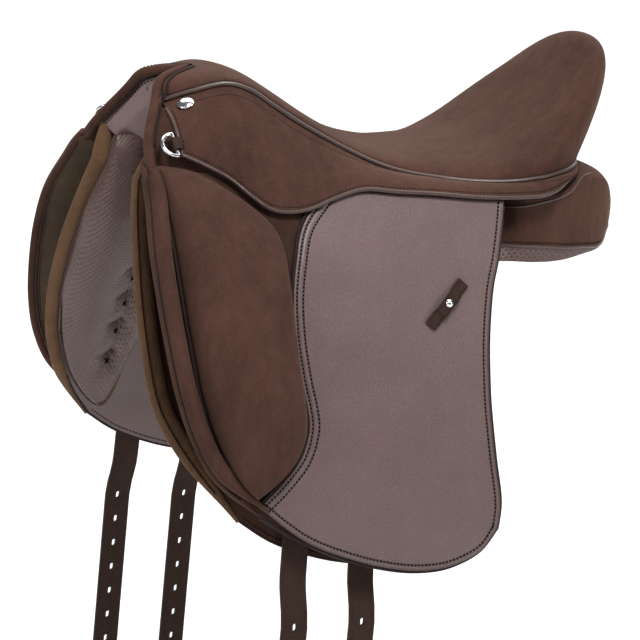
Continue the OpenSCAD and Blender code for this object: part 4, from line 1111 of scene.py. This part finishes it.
class SaddleSkirts(bpy.types.Operator):
    """Hangs the suede skirts, bound and stitched all round"""

    bl_idname = "saddle.skirts"
    bl_label = "Skirts"

    def execute(self, context):
        t, v = lattice(np.linspace(0, 1, 181), np.linspace(0, 1, 25))
        leaf = sheet("near_skirt_suede", skirt(t, v), SKIRT_FACE)
        thicken(leaf, SKIRT_T - 0.5)
        hang(leaf, ["suede"], ["{}_skirt"])
        u, v = lattice(np.linspace(-1.15, 1.15, 13), np.linspace(-0.1, 1.05, 9))
        inner = np.clip(v, 0, 1)
        end = skirt(1, inner) + stack(0 * v, 0 * v, 10 * (inner - v))
        tab = stack(end[..., 0] + 1.5 - 2 * (1 - u * u), u * end[..., 1], end[..., 2])
        tab = sheet("cantle_tab", tab, (-1, 0, 0))
        thicken(tab, COVER_T, 0.5)
        dress(tab, "saddle", ["suede"])
        self.edges()
        return {"FINISHED"}

    def edges(self):
        """The bound edge, and the stitch rows along it, down the front and below the welt."""
        t = np.linspace(0.004, 0.996, 260)
        low, n = skirt(t, 1), self.normal(t, 0.97)
        down = np.linspace(0.12, 0.99, 30)
        rim = np.concatenate([skirt(0.0, down), low])
        normals = np.concatenate([self.normal(0 * down, np.linspace(0.12, 0.96, 30)), n])
        binding = tube("near_skirt_binding", rim - 1.4 * normals, 1.9, 10, side=(0.2, 1, 0))
        hang(binding, ["welt"])
        keep = (t > FRONT_ROW) & (t < 0.985)
        row = low - 4.2 * unit(low - skirt(t, 0.9))
        self.sew("edge", row[keep], n[keep], pitch=FINE_PITCH, lift=0.05)
        v = np.linspace(0.2, 0.93, 40)
        self.sew("front", skirt(FRONT_ROW, v), self.normal(0 * v + FRONT_ROW, v), pitch=FINE_PITCH)
        t = np.linspace(0.05, 0.985, 300)
        v = np.clip(8.5 / np.maximum(np.linalg.norm(skirt(t, 1) - skirt(t, 0), axis=1), 1), 0.05, 0.55)
        self.sew("top", skirt(t, v), self.normal(t, v), pitch=3.2, width=FINE_THREAD)

    @staticmethod
    def sew(place, path, normal, **settings):
        """A stitch row on both skirts."""
        row = sewn(f"near_skirt_{place}_stitches", path, normal, **settings)
        hang(row, ["thread_brown"])

    @staticmethod
    def normal(t, v):
        """Outward normal of the skirt."""
        a = skirt(np.clip(t + 0.004, 0, 1), v) - skirt(np.clip(t - 0.004, 0, 1), v)
        b = skirt(t, np.clip(v + 0.03, 0, 1)) - skirt(t, np.clip(v - 0.03, 0, 1))
        n = unit(np.cross(a, b))
        return n * np.sign(np.sum(n * SKIRT_FACE, axis=-1, keepdims=True))


def flap_normal(p):
    """Outward normals of the flap at flat points."""
    x, z = p[..., 0], p[..., 1]
    return unit(stack(flap_y(x - 1, z) - flap_y(x + 1, z), 2.0 + 0 * x, flap_y(x, z - 1) - flap_y(x, z + 1)))


def inset(line, d):
    """A line moved to its right by d, in the plane of the flap."""
    e = unit(np.gradient(line, axis=0))
    return line + d * np.stack([e[:, 1], -e[:, 0]], axis=1)


def distance(points, line):
    """Distance of flat points from a line."""
    flat = points.reshape(-1, 2)
    far = np.min(np.linalg.norm(flat[:, None] - line[None], axis=2), axis=1)
    return far.reshape(points.shape[:2])


class SaddleFlaps(bpy.types.Operator):
    """Builds the flaps: base sheet, front roll, grained facing and knee block"""

    bl_idname = "saddle.flaps"
    bl_label = "Flaps"

    def execute(self, context):
        u, v = lattice(np.linspace(0, 1, 61), np.linspace(0, 1, 71))
        place = patch(FLAP_TOP, FLAP_LOW_CURVE, FLAP_FRONT_CURVE, FLAP_REAR_CURVE, u, v)
        base = sheet("near_flap_sheet", on_flap(place, 0), OUTWARD)
        thicken(base, FLAP_T, 0.8, 1, 2)
        # The outer face and rim take the darker suede: painted shade in the gaps between the rolls and round the facing
        # and block
        pair(base, "{}_flap", ["suede_painted_shade", "lining", "suede_painted_shade"], ["{}_flap"])
        self.roll()
        rim = np.concatenate([trace(FLAP_LOW_CURVE, 90), trace(FLAP_REAR_CURVE, 90, 0.99, 0.02)])
        cord("near_flap_binding", on_flap(rim, -FLAP_T / 2), FLAP_T / 2 + 0.4, "{}_flap", "piping", sides=10)
        self.facing()
        self.block(context.scene.saddle_sizes.piping)
        return {"FINISHED"}

    def roll(self):
        """Padded roll along the front edge, the flap's own rolled edge ahead of it, the seam behind them, and a dark
        tube between them that is painted shadow in the gap.
        """
        t = np.linspace(0, 1, 120)
        line = along(FLAP_FRONT_CURVE, t)
        radius = BAND_R * lerp(0.62, 1, ease(t / 0.1)) * lerp(1, 0.2, ease((t - 0.86) / 0.14))
        band = tube("near_flap_band", on_flap(inset(line, BAND_IN), BAND_UP), radius, 16, 0.9)
        pair(band, "{}_flap", ["suede"], ["{}_flap_roll"])
        radius = EDGE_R * lerp(0.45, 1, ease(t / 0.07)) * lerp(1, 0.5, ease((t - 0.9) / 0.1))
        edge = tube("near_flap_edge", on_flap(inset(line, 1.2), -FLAP_T / 2), radius, 12, 0.95)
        pair(edge, "{}_flap", ["suede"], ())
        cord("near_roll_seam_inner", on_flap(inset(line, 5.4), -FLAP_T - 0.4), 0.9, "{}_flap", "piping")
        # A dark tube laid in the gap between the rolled edge and the roll: painted shadow, not a seam
        cord("near_roll_seam", on_flap(inset(line[6:-8], 0.5), 1.4), 1.2, "{}_flap", "piping")
        for name, deep, up, face in (
            ("near_roll_stitches", BAND_IN + BAND_R + 1.5, 0.2, 1),
            ("near_roll_stitches_inner", BAND_IN, -FLAP_T - 0.2, -1),
        ):
            row = inset(line, deep)
            sew(name, on_flap(row, up), face * flap_normal(row), "{}_flap", pitch=FINE_PITCH)

    def facing(self):
        """Smooth facing with two stitch rows along its seam and one round its rim."""
        u, v = lattice(np.linspace(0, 1, 61), np.linspace(0, 1, 71))
        place = patch(FACING_TOP, FACING_LOW, SEAM, FACING_REAR, u, v)
        seam = trace(SEAM, 240)
        rim = np.concatenate([trace(FACING_LOW, 200), trace(FACING_REAR, 200, 1, 0)])
        marks = {"seam": distance(place, seam), "edge": distance(place, rim)}
        top = 2 * GAP + FACING_T
        hide = sheet("near_flap_hide", on_flap(place, top), OUTWARD, marks)
        thicken(hide, FACING_T, 0.7)
        pair(hide, "{}_flap", ["facing"], ["{}_facing"])
        for name, line, deep in (
            ("near_seam_stitches", seam, SEAM_ROW),
            ("near_band_stitches", seam, BAND_ROW),
            ("near_rim_stitches", rim, RIM_ROW),
        ):
            row = inset(line, deep)
            sew(name, on_flap(row, top), flap_normal(row), "{}_flap", "thread", width=1.8, lift=0.0)
        cord("near_facing_edge", on_flap(inset(rim, 0.3), top - 0.5), 0.9, "{}_flap", "welt")
        # Dark piping along the facing's seam, made wide so that it also stands for the shadow under the knee block's
        # edge: a real joint and painted shadow
        cord("near_facing_seam", on_flap(inset(seam, -1.3), 1.4), 1.5, "{}_flap", "piping")

    def block(self, piping):
        """Padded knee block, with piping and a stitch row along its front."""
        k = 0.5 - 0.5 * np.cos(np.pi * np.linspace(0, 1, 65))
        u, v = lattice(k, k)
        place = patch(*map(raised, (BLOCK_TOP, BLOCK_LOW, BLOCK_FRONT, BLOCK_REAR)), u, v)
        swell = np.sqrt(np.maximum(4 * u * (1 - u), 0)) * np.sqrt(np.maximum(4 * v * (1 - v), 0))
        width = np.minimum(np.minimum(u, 1 - u) * BLOCK_WIDE, np.minimum(v, 1 - v) * BLOCK_HIGH)
        edge = np.clip(width / BLOCK_ROUND, 0, 1)
        height = lerp(BLOCK_EDGE, BLOCK_T, swell) * lerp(0.12, 1, np.sqrt(edge * (2 - edge)))
        pad = sheet("near_knee_pad", on_flap(place, 2 * GAP + height), OUTWARD)
        back = sheet("near_knee_pad_back", on_flap(place, 2 * GAP), (0, -1, 0))
        joined([pad, back], "near_knee_pad")
        bpy.ops.object.mode_set(mode="EDIT")
        bpy.ops.mesh.select_all(action="DESELECT")
        bpy.ops.mesh.select_non_manifold(
            extend=False, use_wire=False, use_multi_face=False, use_non_contiguous=False, use_verts=False
        )
        bpy.ops.mesh.bridge_edge_loops()
        bpy.ops.object.mode_set(mode="OBJECT")
        bpy.ops.object.shade_smooth()
        pair(pad, "{}_flap", ["suede"], ["{}_knee_block"])
        line = trace(raised(BLOCK_FRONT), 160)
        cord("near_block_piping", on_flap(inset(line, -2.6), 1.6), piping, "{}_flap", "piping")
        row = inset(line[12:], -5.6)
        sew("near_block_stitches", on_flap(row, 0.3), flap_normal(row), "{}_flap", pitch=FINE_PITCH)


class SaddleKeepers(bpy.types.Operator):
    """Adds the small keepers on the flaps, bowed up under their studs"""

    bl_idname = "saddle.keepers"
    bl_label = "Keepers"

    def execute(self, context):
        ((x, z),) = raised([KEEPER_PLACE])
        at = np.array([x, flap_y(x, z) + FACING_T + 4 * GAP, z])
        p = on_flap(np.array([[x - 1, z + 1], [x + 1, z - 1], [x - 1, z - 1], [x + 1, z + 1]]), 0)
        a = unit(p[0] - p[1])
        n = unit(np.cross(p[2] - p[3], a))
        c = np.cross(n, a)

        def lay(u, w):
            """Point of the keeper's face, u along it and w across."""
            bow = KEEPER_BOW * ease((16 - np.abs(u)) / 6) + KEEPER_T
            return at + u[..., None] * a + w[..., None] * c + bow[..., None] * n

        half_length, half_width = KEEPER_HALF
        u, w = lattice(np.linspace(-half_length, half_length, 41), np.linspace(-half_width, half_width, 9))
        tab = sheet("near_keeper_tab", lay(u, w), n)
        thicken(tab, KEEPER_T, 0.8)
        pair(tab, "{}_flap", ["strap"], ["{}_keeper"])
        u = np.linspace(2 - half_length, half_length - 2, 60)
        for name, w in (("near_keeper_stitches", 4.4), ("near_keeper_stitches_low", -4.4)):
            row = lay(u, 0 * u + w)
            sew(name, row, 0 * row + n, "{}_flap", pitch=FINE_PITCH)
        return {"FINISHED"}


class SaddlePanels(bpy.types.Operator):
    """Fills the panels: perforated underside, suede gusset, piping and sewn tufts"""

    bl_idname = "saddle.panels"
    bl_label = "Panels"

    def execute(self, context):
        x = [np.linspace(PANEL_FRONT, 150, 70), np.linspace(148, -200, 70), np.linspace(-203, PANEL_REAR, 24)]
        x, k = lattice(np.concatenate(x), np.linspace(0, 1, ACROSS))
        hem = ROOF + WALL * lerp(0.98, 0.76, ease((x - PANEL_REAR) / 120))
        share = HEM_COLUMN / (ACROSS - 1)
        j = np.where(k < share, hem * k / share, lerp(hem, ROOF + WALL, (k - share) / (1 - share)))
        outside, _ = panel_outside(x, j)
        inside = panel_inside(x, k * (ROOF + WALL))
        self.pad(inside, outside)
        front = outside[0, outside[0, :, 2] < 52][:-1]
        low = self.fill_out(np.concatenate([front, outside[:74, -1]])) + (-0.4, -3.4, -0.4)
        cord("near_panel_binding", low, 1.3, "saddle", "piping")
        hem = self.fill_out(inside[46:104, -1]) + (0, -0.8, 0.5)
        cord("near_panel_hem", hem, 2.1, "saddle", "lining")
        line = self.fill_out(outside)[:, HEM_COLUMN]
        cord("near_panel_piping", line + (0, 0.3, 0), 1.3, "saddle", "welt")
        sew("near_panel_stitches", line + (0, 0.2, 3.6), 0 * line + OUTWARD, "saddle", pitch=FINE_PITCH)
        back = np.linspace(-60, -196, 90)
        top, _ = panel_outside(back, lerp(ROOF + 2.8, ROOF - 0.6, np.clip((-80 - back) / 105, 0, 1)))
        cord("near_gusset_piping", self.fill_out(top) + (0, 0.5, 0), 1.0, "saddle", "welt")
        self.tufts()
        web = softened("gullet_web", "gullet_lining", 1.0)
        dress(web, "saddle", ["smooth"], ["gullet_web"])
        return {"FINISHED"}

    def pad(self, inside, outside):
        """The cushion: perforated hide round its underside and up to the hem, suede above it."""
        ring = np.concatenate([inside, outside[:, ::-1], inside[:, :1]], axis=1)
        middle = (inside[[0, -1]] + outside[[0, -1]]) / 2
        ends = np.concatenate([middle, middle[:, ::-1], middle[:, :1]], axis=1)
        ring = self.fill_out(np.concatenate([ends[:1] + (1.2, 0, 0), ring, ends[1:] - (1.2, 0, 0)]))
        pad = sheet("near_panel_pad", ring)
        paint(pad, ["panel", "suede"])
        columns = ring.shape[1]
        for p in pad.data.polygons:
            column = min(v % columns for v in p.vertices)
            p.material_index = 1 if 2 * ACROSS - 1 - HEM_COLUMN <= column < columns - 2 else 0
        pair(closed(pad), "saddle", ["panel", "suede"], ["{}_panel"])

    @staticmethod
    def fill_out(p):
        """The stuffed panel: fuller to its front edge, below the pommel and at its rear end."""
        x, y, z = p[..., 0], p[..., 1], p[..., 2]
        high = ease((z - 5) / 55)
        fuller = 17 * ease((x - 185) / 51) * (1 - 0.85 * high) * lerp(0.45, 1, ease((z + 150) / 90))
        rounded = ease((-215 - x) / 31) * (7 * ease((30 - z) / 30) + 6 * ease((z - 38) / 25))
        ahead = x + fuller + rounded
        lift = 20 * ease((x - 180) / 46) * high + 12 * ease((-150 - x) / 50) * ease((z - 30) / 32)
        sag = 7 * ease((-185 - x) / 50) * (1 - high)
        return stack(ahead, y + np.where(x > 100, sweat_y(ahead, z) - sweat_y(x, z), 0), z + lift - sag)

    def tufts(self):
        """Crossed threads that pull the tufts into the panel."""
        threads = []
        bend = np.linspace(-1, 1, 9)[:, None]
        for index, (x, z) in enumerate(raised(TUFTS)):
            line = panel_inside(np.full(400, float(x)), np.linspace(0, ROOF + WALL, 400))
            k = np.argmin(np.abs(line[1:-1, 2] - z)) + 1
            p, way = line[k], unit(line[k + 1] - line[k - 1])
            n = unit(np.cross(way, (1, 0, 0)))
            n *= -np.sign(n[1])
            for letter, cross in (("a", 0.5), ("b", -0.5)):
                d = unit(np.array([cross, 0, 0]) + 0.8 * way)
                path = p + 0.4 * n + 2.8 * bend * d - bend**2 * 1.2 * n
                threads.append(tube(f"near_tuft_{index}_{letter}", path, 0.9, side=tuple(n)))
        pair(joined(threads, "near_tuft_threads"), "saddle", ["thread"], ["{}_tufts"])


class SaddleSweatFlaps(bpy.types.Operator):
    """Hangs the sweat flaps with their tan rolled front edge and stitched hem"""

    bl_idname = "saddle.sweat_flaps"
    bl_label = "Sweat flaps"

    def execute(self, context):
        u, v = lattice(np.linspace(0, 1, 61) ** 1.35, np.linspace(0, 1, 61))
        place = patch(*map(raised, (SWEAT_TOP, SWEAT_LOW, SWEAT_FRONT, SWEAT_REAR)), u, v)
        leaf = sheet("near_sweat_leaf", on_sweat(place, 0), OUTWARD)
        thicken(leaf, SWEAT_T, 0.7, 1, 2)
        # The outer face takes the darker suede: painted shade for the face that lies in the flap's shadow
        pair(leaf, "saddle", ["suede_painted_shade", "smooth", "piping"], ["{}_sweat_flap"])
        self.band()
        rim = np.concatenate([trace(raised(SWEAT_LOW), 110), trace(raised(SWEAT_REAR), 90, 1, 0.1)])
        line = inset(rim, 4)
        for name, out in (("near_sweat_stitches", 0.1), ("near_sweat_stitches_inner", -SWEAT_T - 0.1)):
            row = on_sweat(line, out)
            sew(name, row, 0 * row + OUTWARD, "saddle", "thread", pitch=FINE_PITCH)
        rim = np.concatenate([trace(raised(SWEAT_FRONT), 16, 0.84, 0.99), rim])
        cord("near_sweat_hem", on_sweat(rim, -SWEAT_T / 2), SWEAT_T / 2 + 0.3, "saddle", "piping")
        return {"FINISHED"}

    def band(self):
        """Tan padded band along the front edge, sunk into the leaf and tapered to its low end, with its seam."""
        t = np.linspace(0, 1, 140)
        line = inset(along(raised(SWEAT_FRONT), t), -1.5)
        half = TAN_FLAT * TAN_R * lerp(1, 0.22, ease((t - 0.77) / 0.23))
        path = on_sweat(line, lerp(-SWEAT_T / 2, half - 1.2, ease(t / 0.3)))
        path = np.concatenate([trace([*TAN_HEAD, path[0]], 20, 0, 0.94), path])
        t = np.linspace(0, 1, len(path))
        radius = TAN_R * lerp(0.85, 1, ease(t / 0.12)) * lerp(1, 0.22, ease((t - 0.8) / 0.2))
        roll = tube("near_sweat_band", path, radius, 16, TAN_FLAT)
        pair(roll, "saddle", ["suede_tan"], ())
        seam = path + stack(0.55 * radius, TAN_FLAT * radius - 0.3, 0.2 * radius)
        cord("near_sweat_seam", seam[12:-12], 0.7, "saddle", "thread_brown")


class SaddleStraps(bpy.types.Operator):
    """Hangs the girth straps, stitched along both edges, from their webs"""

    bl_idname = "saddle.straps"
    bl_label = "Girth straps"

    def execute(self, context):
        for side, sign in zip(SIDES, (1, -1)):
            for which, layer in (("front", 1), ("rear", 0)):
                name = f"{side}_{which}_strap"
                hide = softened(name, name + "_hide", 0.5)
                dress(hide, name, ["strap"], [name])
                rows = self.rows(STRAP_X[which], layer, np.array([1, sign, 1]))
                dress(joined(rows, name + "_stitches"), name, ["thread_brown"])
            for node, bevel in ((f"{side}_girth_web", 0.6), (f"{side}_flap_web", 0.4)):
                dress(softened(node, node + "bing", bevel), "saddle", ["web"], [node])
        return {"FINISHED"}

    @staticmethod
    def rows(x, layer, mirror):
        """Stitch rows along a strap's edges, on its inner face only where it hangs below the sweat flap."""
        whole = np.linspace(STRAP_PIVOT + 4, STRAP_END + 12, 300)
        below = whole[whole < BASE - BEND_DEPTH - 2]
        made = []
        for edge in (-1, 1):
            for face, z in ((-1, below), (1, whole)):
                y = strap_y(z, layer)
                n = unit(stack(0 * z, np.ones_like(z), -np.gradient(y, z)))
                path = stack(x + edge * (STRAP_W / 2 - 2.6) + 0 * z, y, z) + face * STRAP_T / 2 * n
                made.append(sewn("row", path * mirror, face * n * mirror, pitch=4.2, width=FINE_THREAD, lift=-0.25))
        return made


class SaddleFittings(bpy.types.Operator):
    """Finishes the metal fittings, the dee chapes and the tree inside"""

    bl_idname = "saddle.fittings"
    bl_label = "Fittings"

    def execute(self, context):
        for side in SIDES:
            chape = softened(f"{side}_dee_chape", f"{side}_dee_tab", 1.2)
            dress(chape, "saddle", ["strap"], [f"{side}_dee_chape"])
            for node, body in ((f"{side}_stud", "saddle"), (f"{side}_keeper_stud", f"{side}_flap")):
                dress(softened(node, node + "_dome", 0), body, ["chrome"], [node])
        bare = {
            "chrome": ["{}_dee"],
            "steel": ["{}_stirrup_bar", "{}_bar_catch", "bar_rivets", "strap_rivets", "gullet_plate", "gullet_screws"],
            "tree": ["tree"],
        }
        for name, nodes in bare.items():
            for node in sorted({n.format(side) for n in nodes for side in SIDES}):
                materials = frame["nodes"][node].data.materials
                materials.clear()
                materials.append(finish(name))
        return {"FINISHED"}


STEPS = (
    SaddleStage, SaddleSeat, SaddleSkirts, SaddleFlaps, SaddleKeepers,
    SaddlePanels, SaddleSweatFlaps, SaddleStraps, SaddleFittings,
)


class SADDLE_PT_pieces(bpy.types.Panel):
    """The saddle's pieces, in the order in which they are made"""

    bl_label = "Dressage saddle"
    bl_space_type = "VIEW_3D"
    bl_region_type = "UI"
    bl_category = "Saddle"

    def draw(self, context):
        for group in (context.scene.saddle_sizes, context.scene.saddle_colours):
            for key in group.__annotations__:
                self.layout.prop(group, key)
        for step in STEPS:
            self.layout.operator(step.bl_idname)


CLASSES = (SaddleSizes, SaddleColours, *STEPS, SADDLE_PT_pieces)


def register():
    for cls in CLASSES:
        bpy.utils.register_class(cls)
    bpy.types.Scene.saddle_sizes = bpy.props.PointerProperty(type=SaddleSizes)
    bpy.types.Scene.saddle_colours = bpy.props.PointerProperty(type=SaddleColours)


def unregister():
    del bpy.types.Scene.saddle_colours
    del bpy.types.Scene.saddle_sizes
    for cls in reversed(CLASSES):
        bpy.utils.unregister_class(cls)


def main():
    """Makes the saddle's pieces in order."""
    register()
    bpy.ops.saddle.stage()
    bpy.ops.saddle.seat()
    bpy.ops.saddle.skirts()
    bpy.ops.saddle.flaps()
    bpy.ops.saddle.keepers()
    bpy.ops.saddle.panels()
    bpy.ops.saddle.sweat_flaps()
    bpy.ops.saddle.straps()
    bpy.ops.saddle.fittings()


if __name__ == "__main__":
    main()
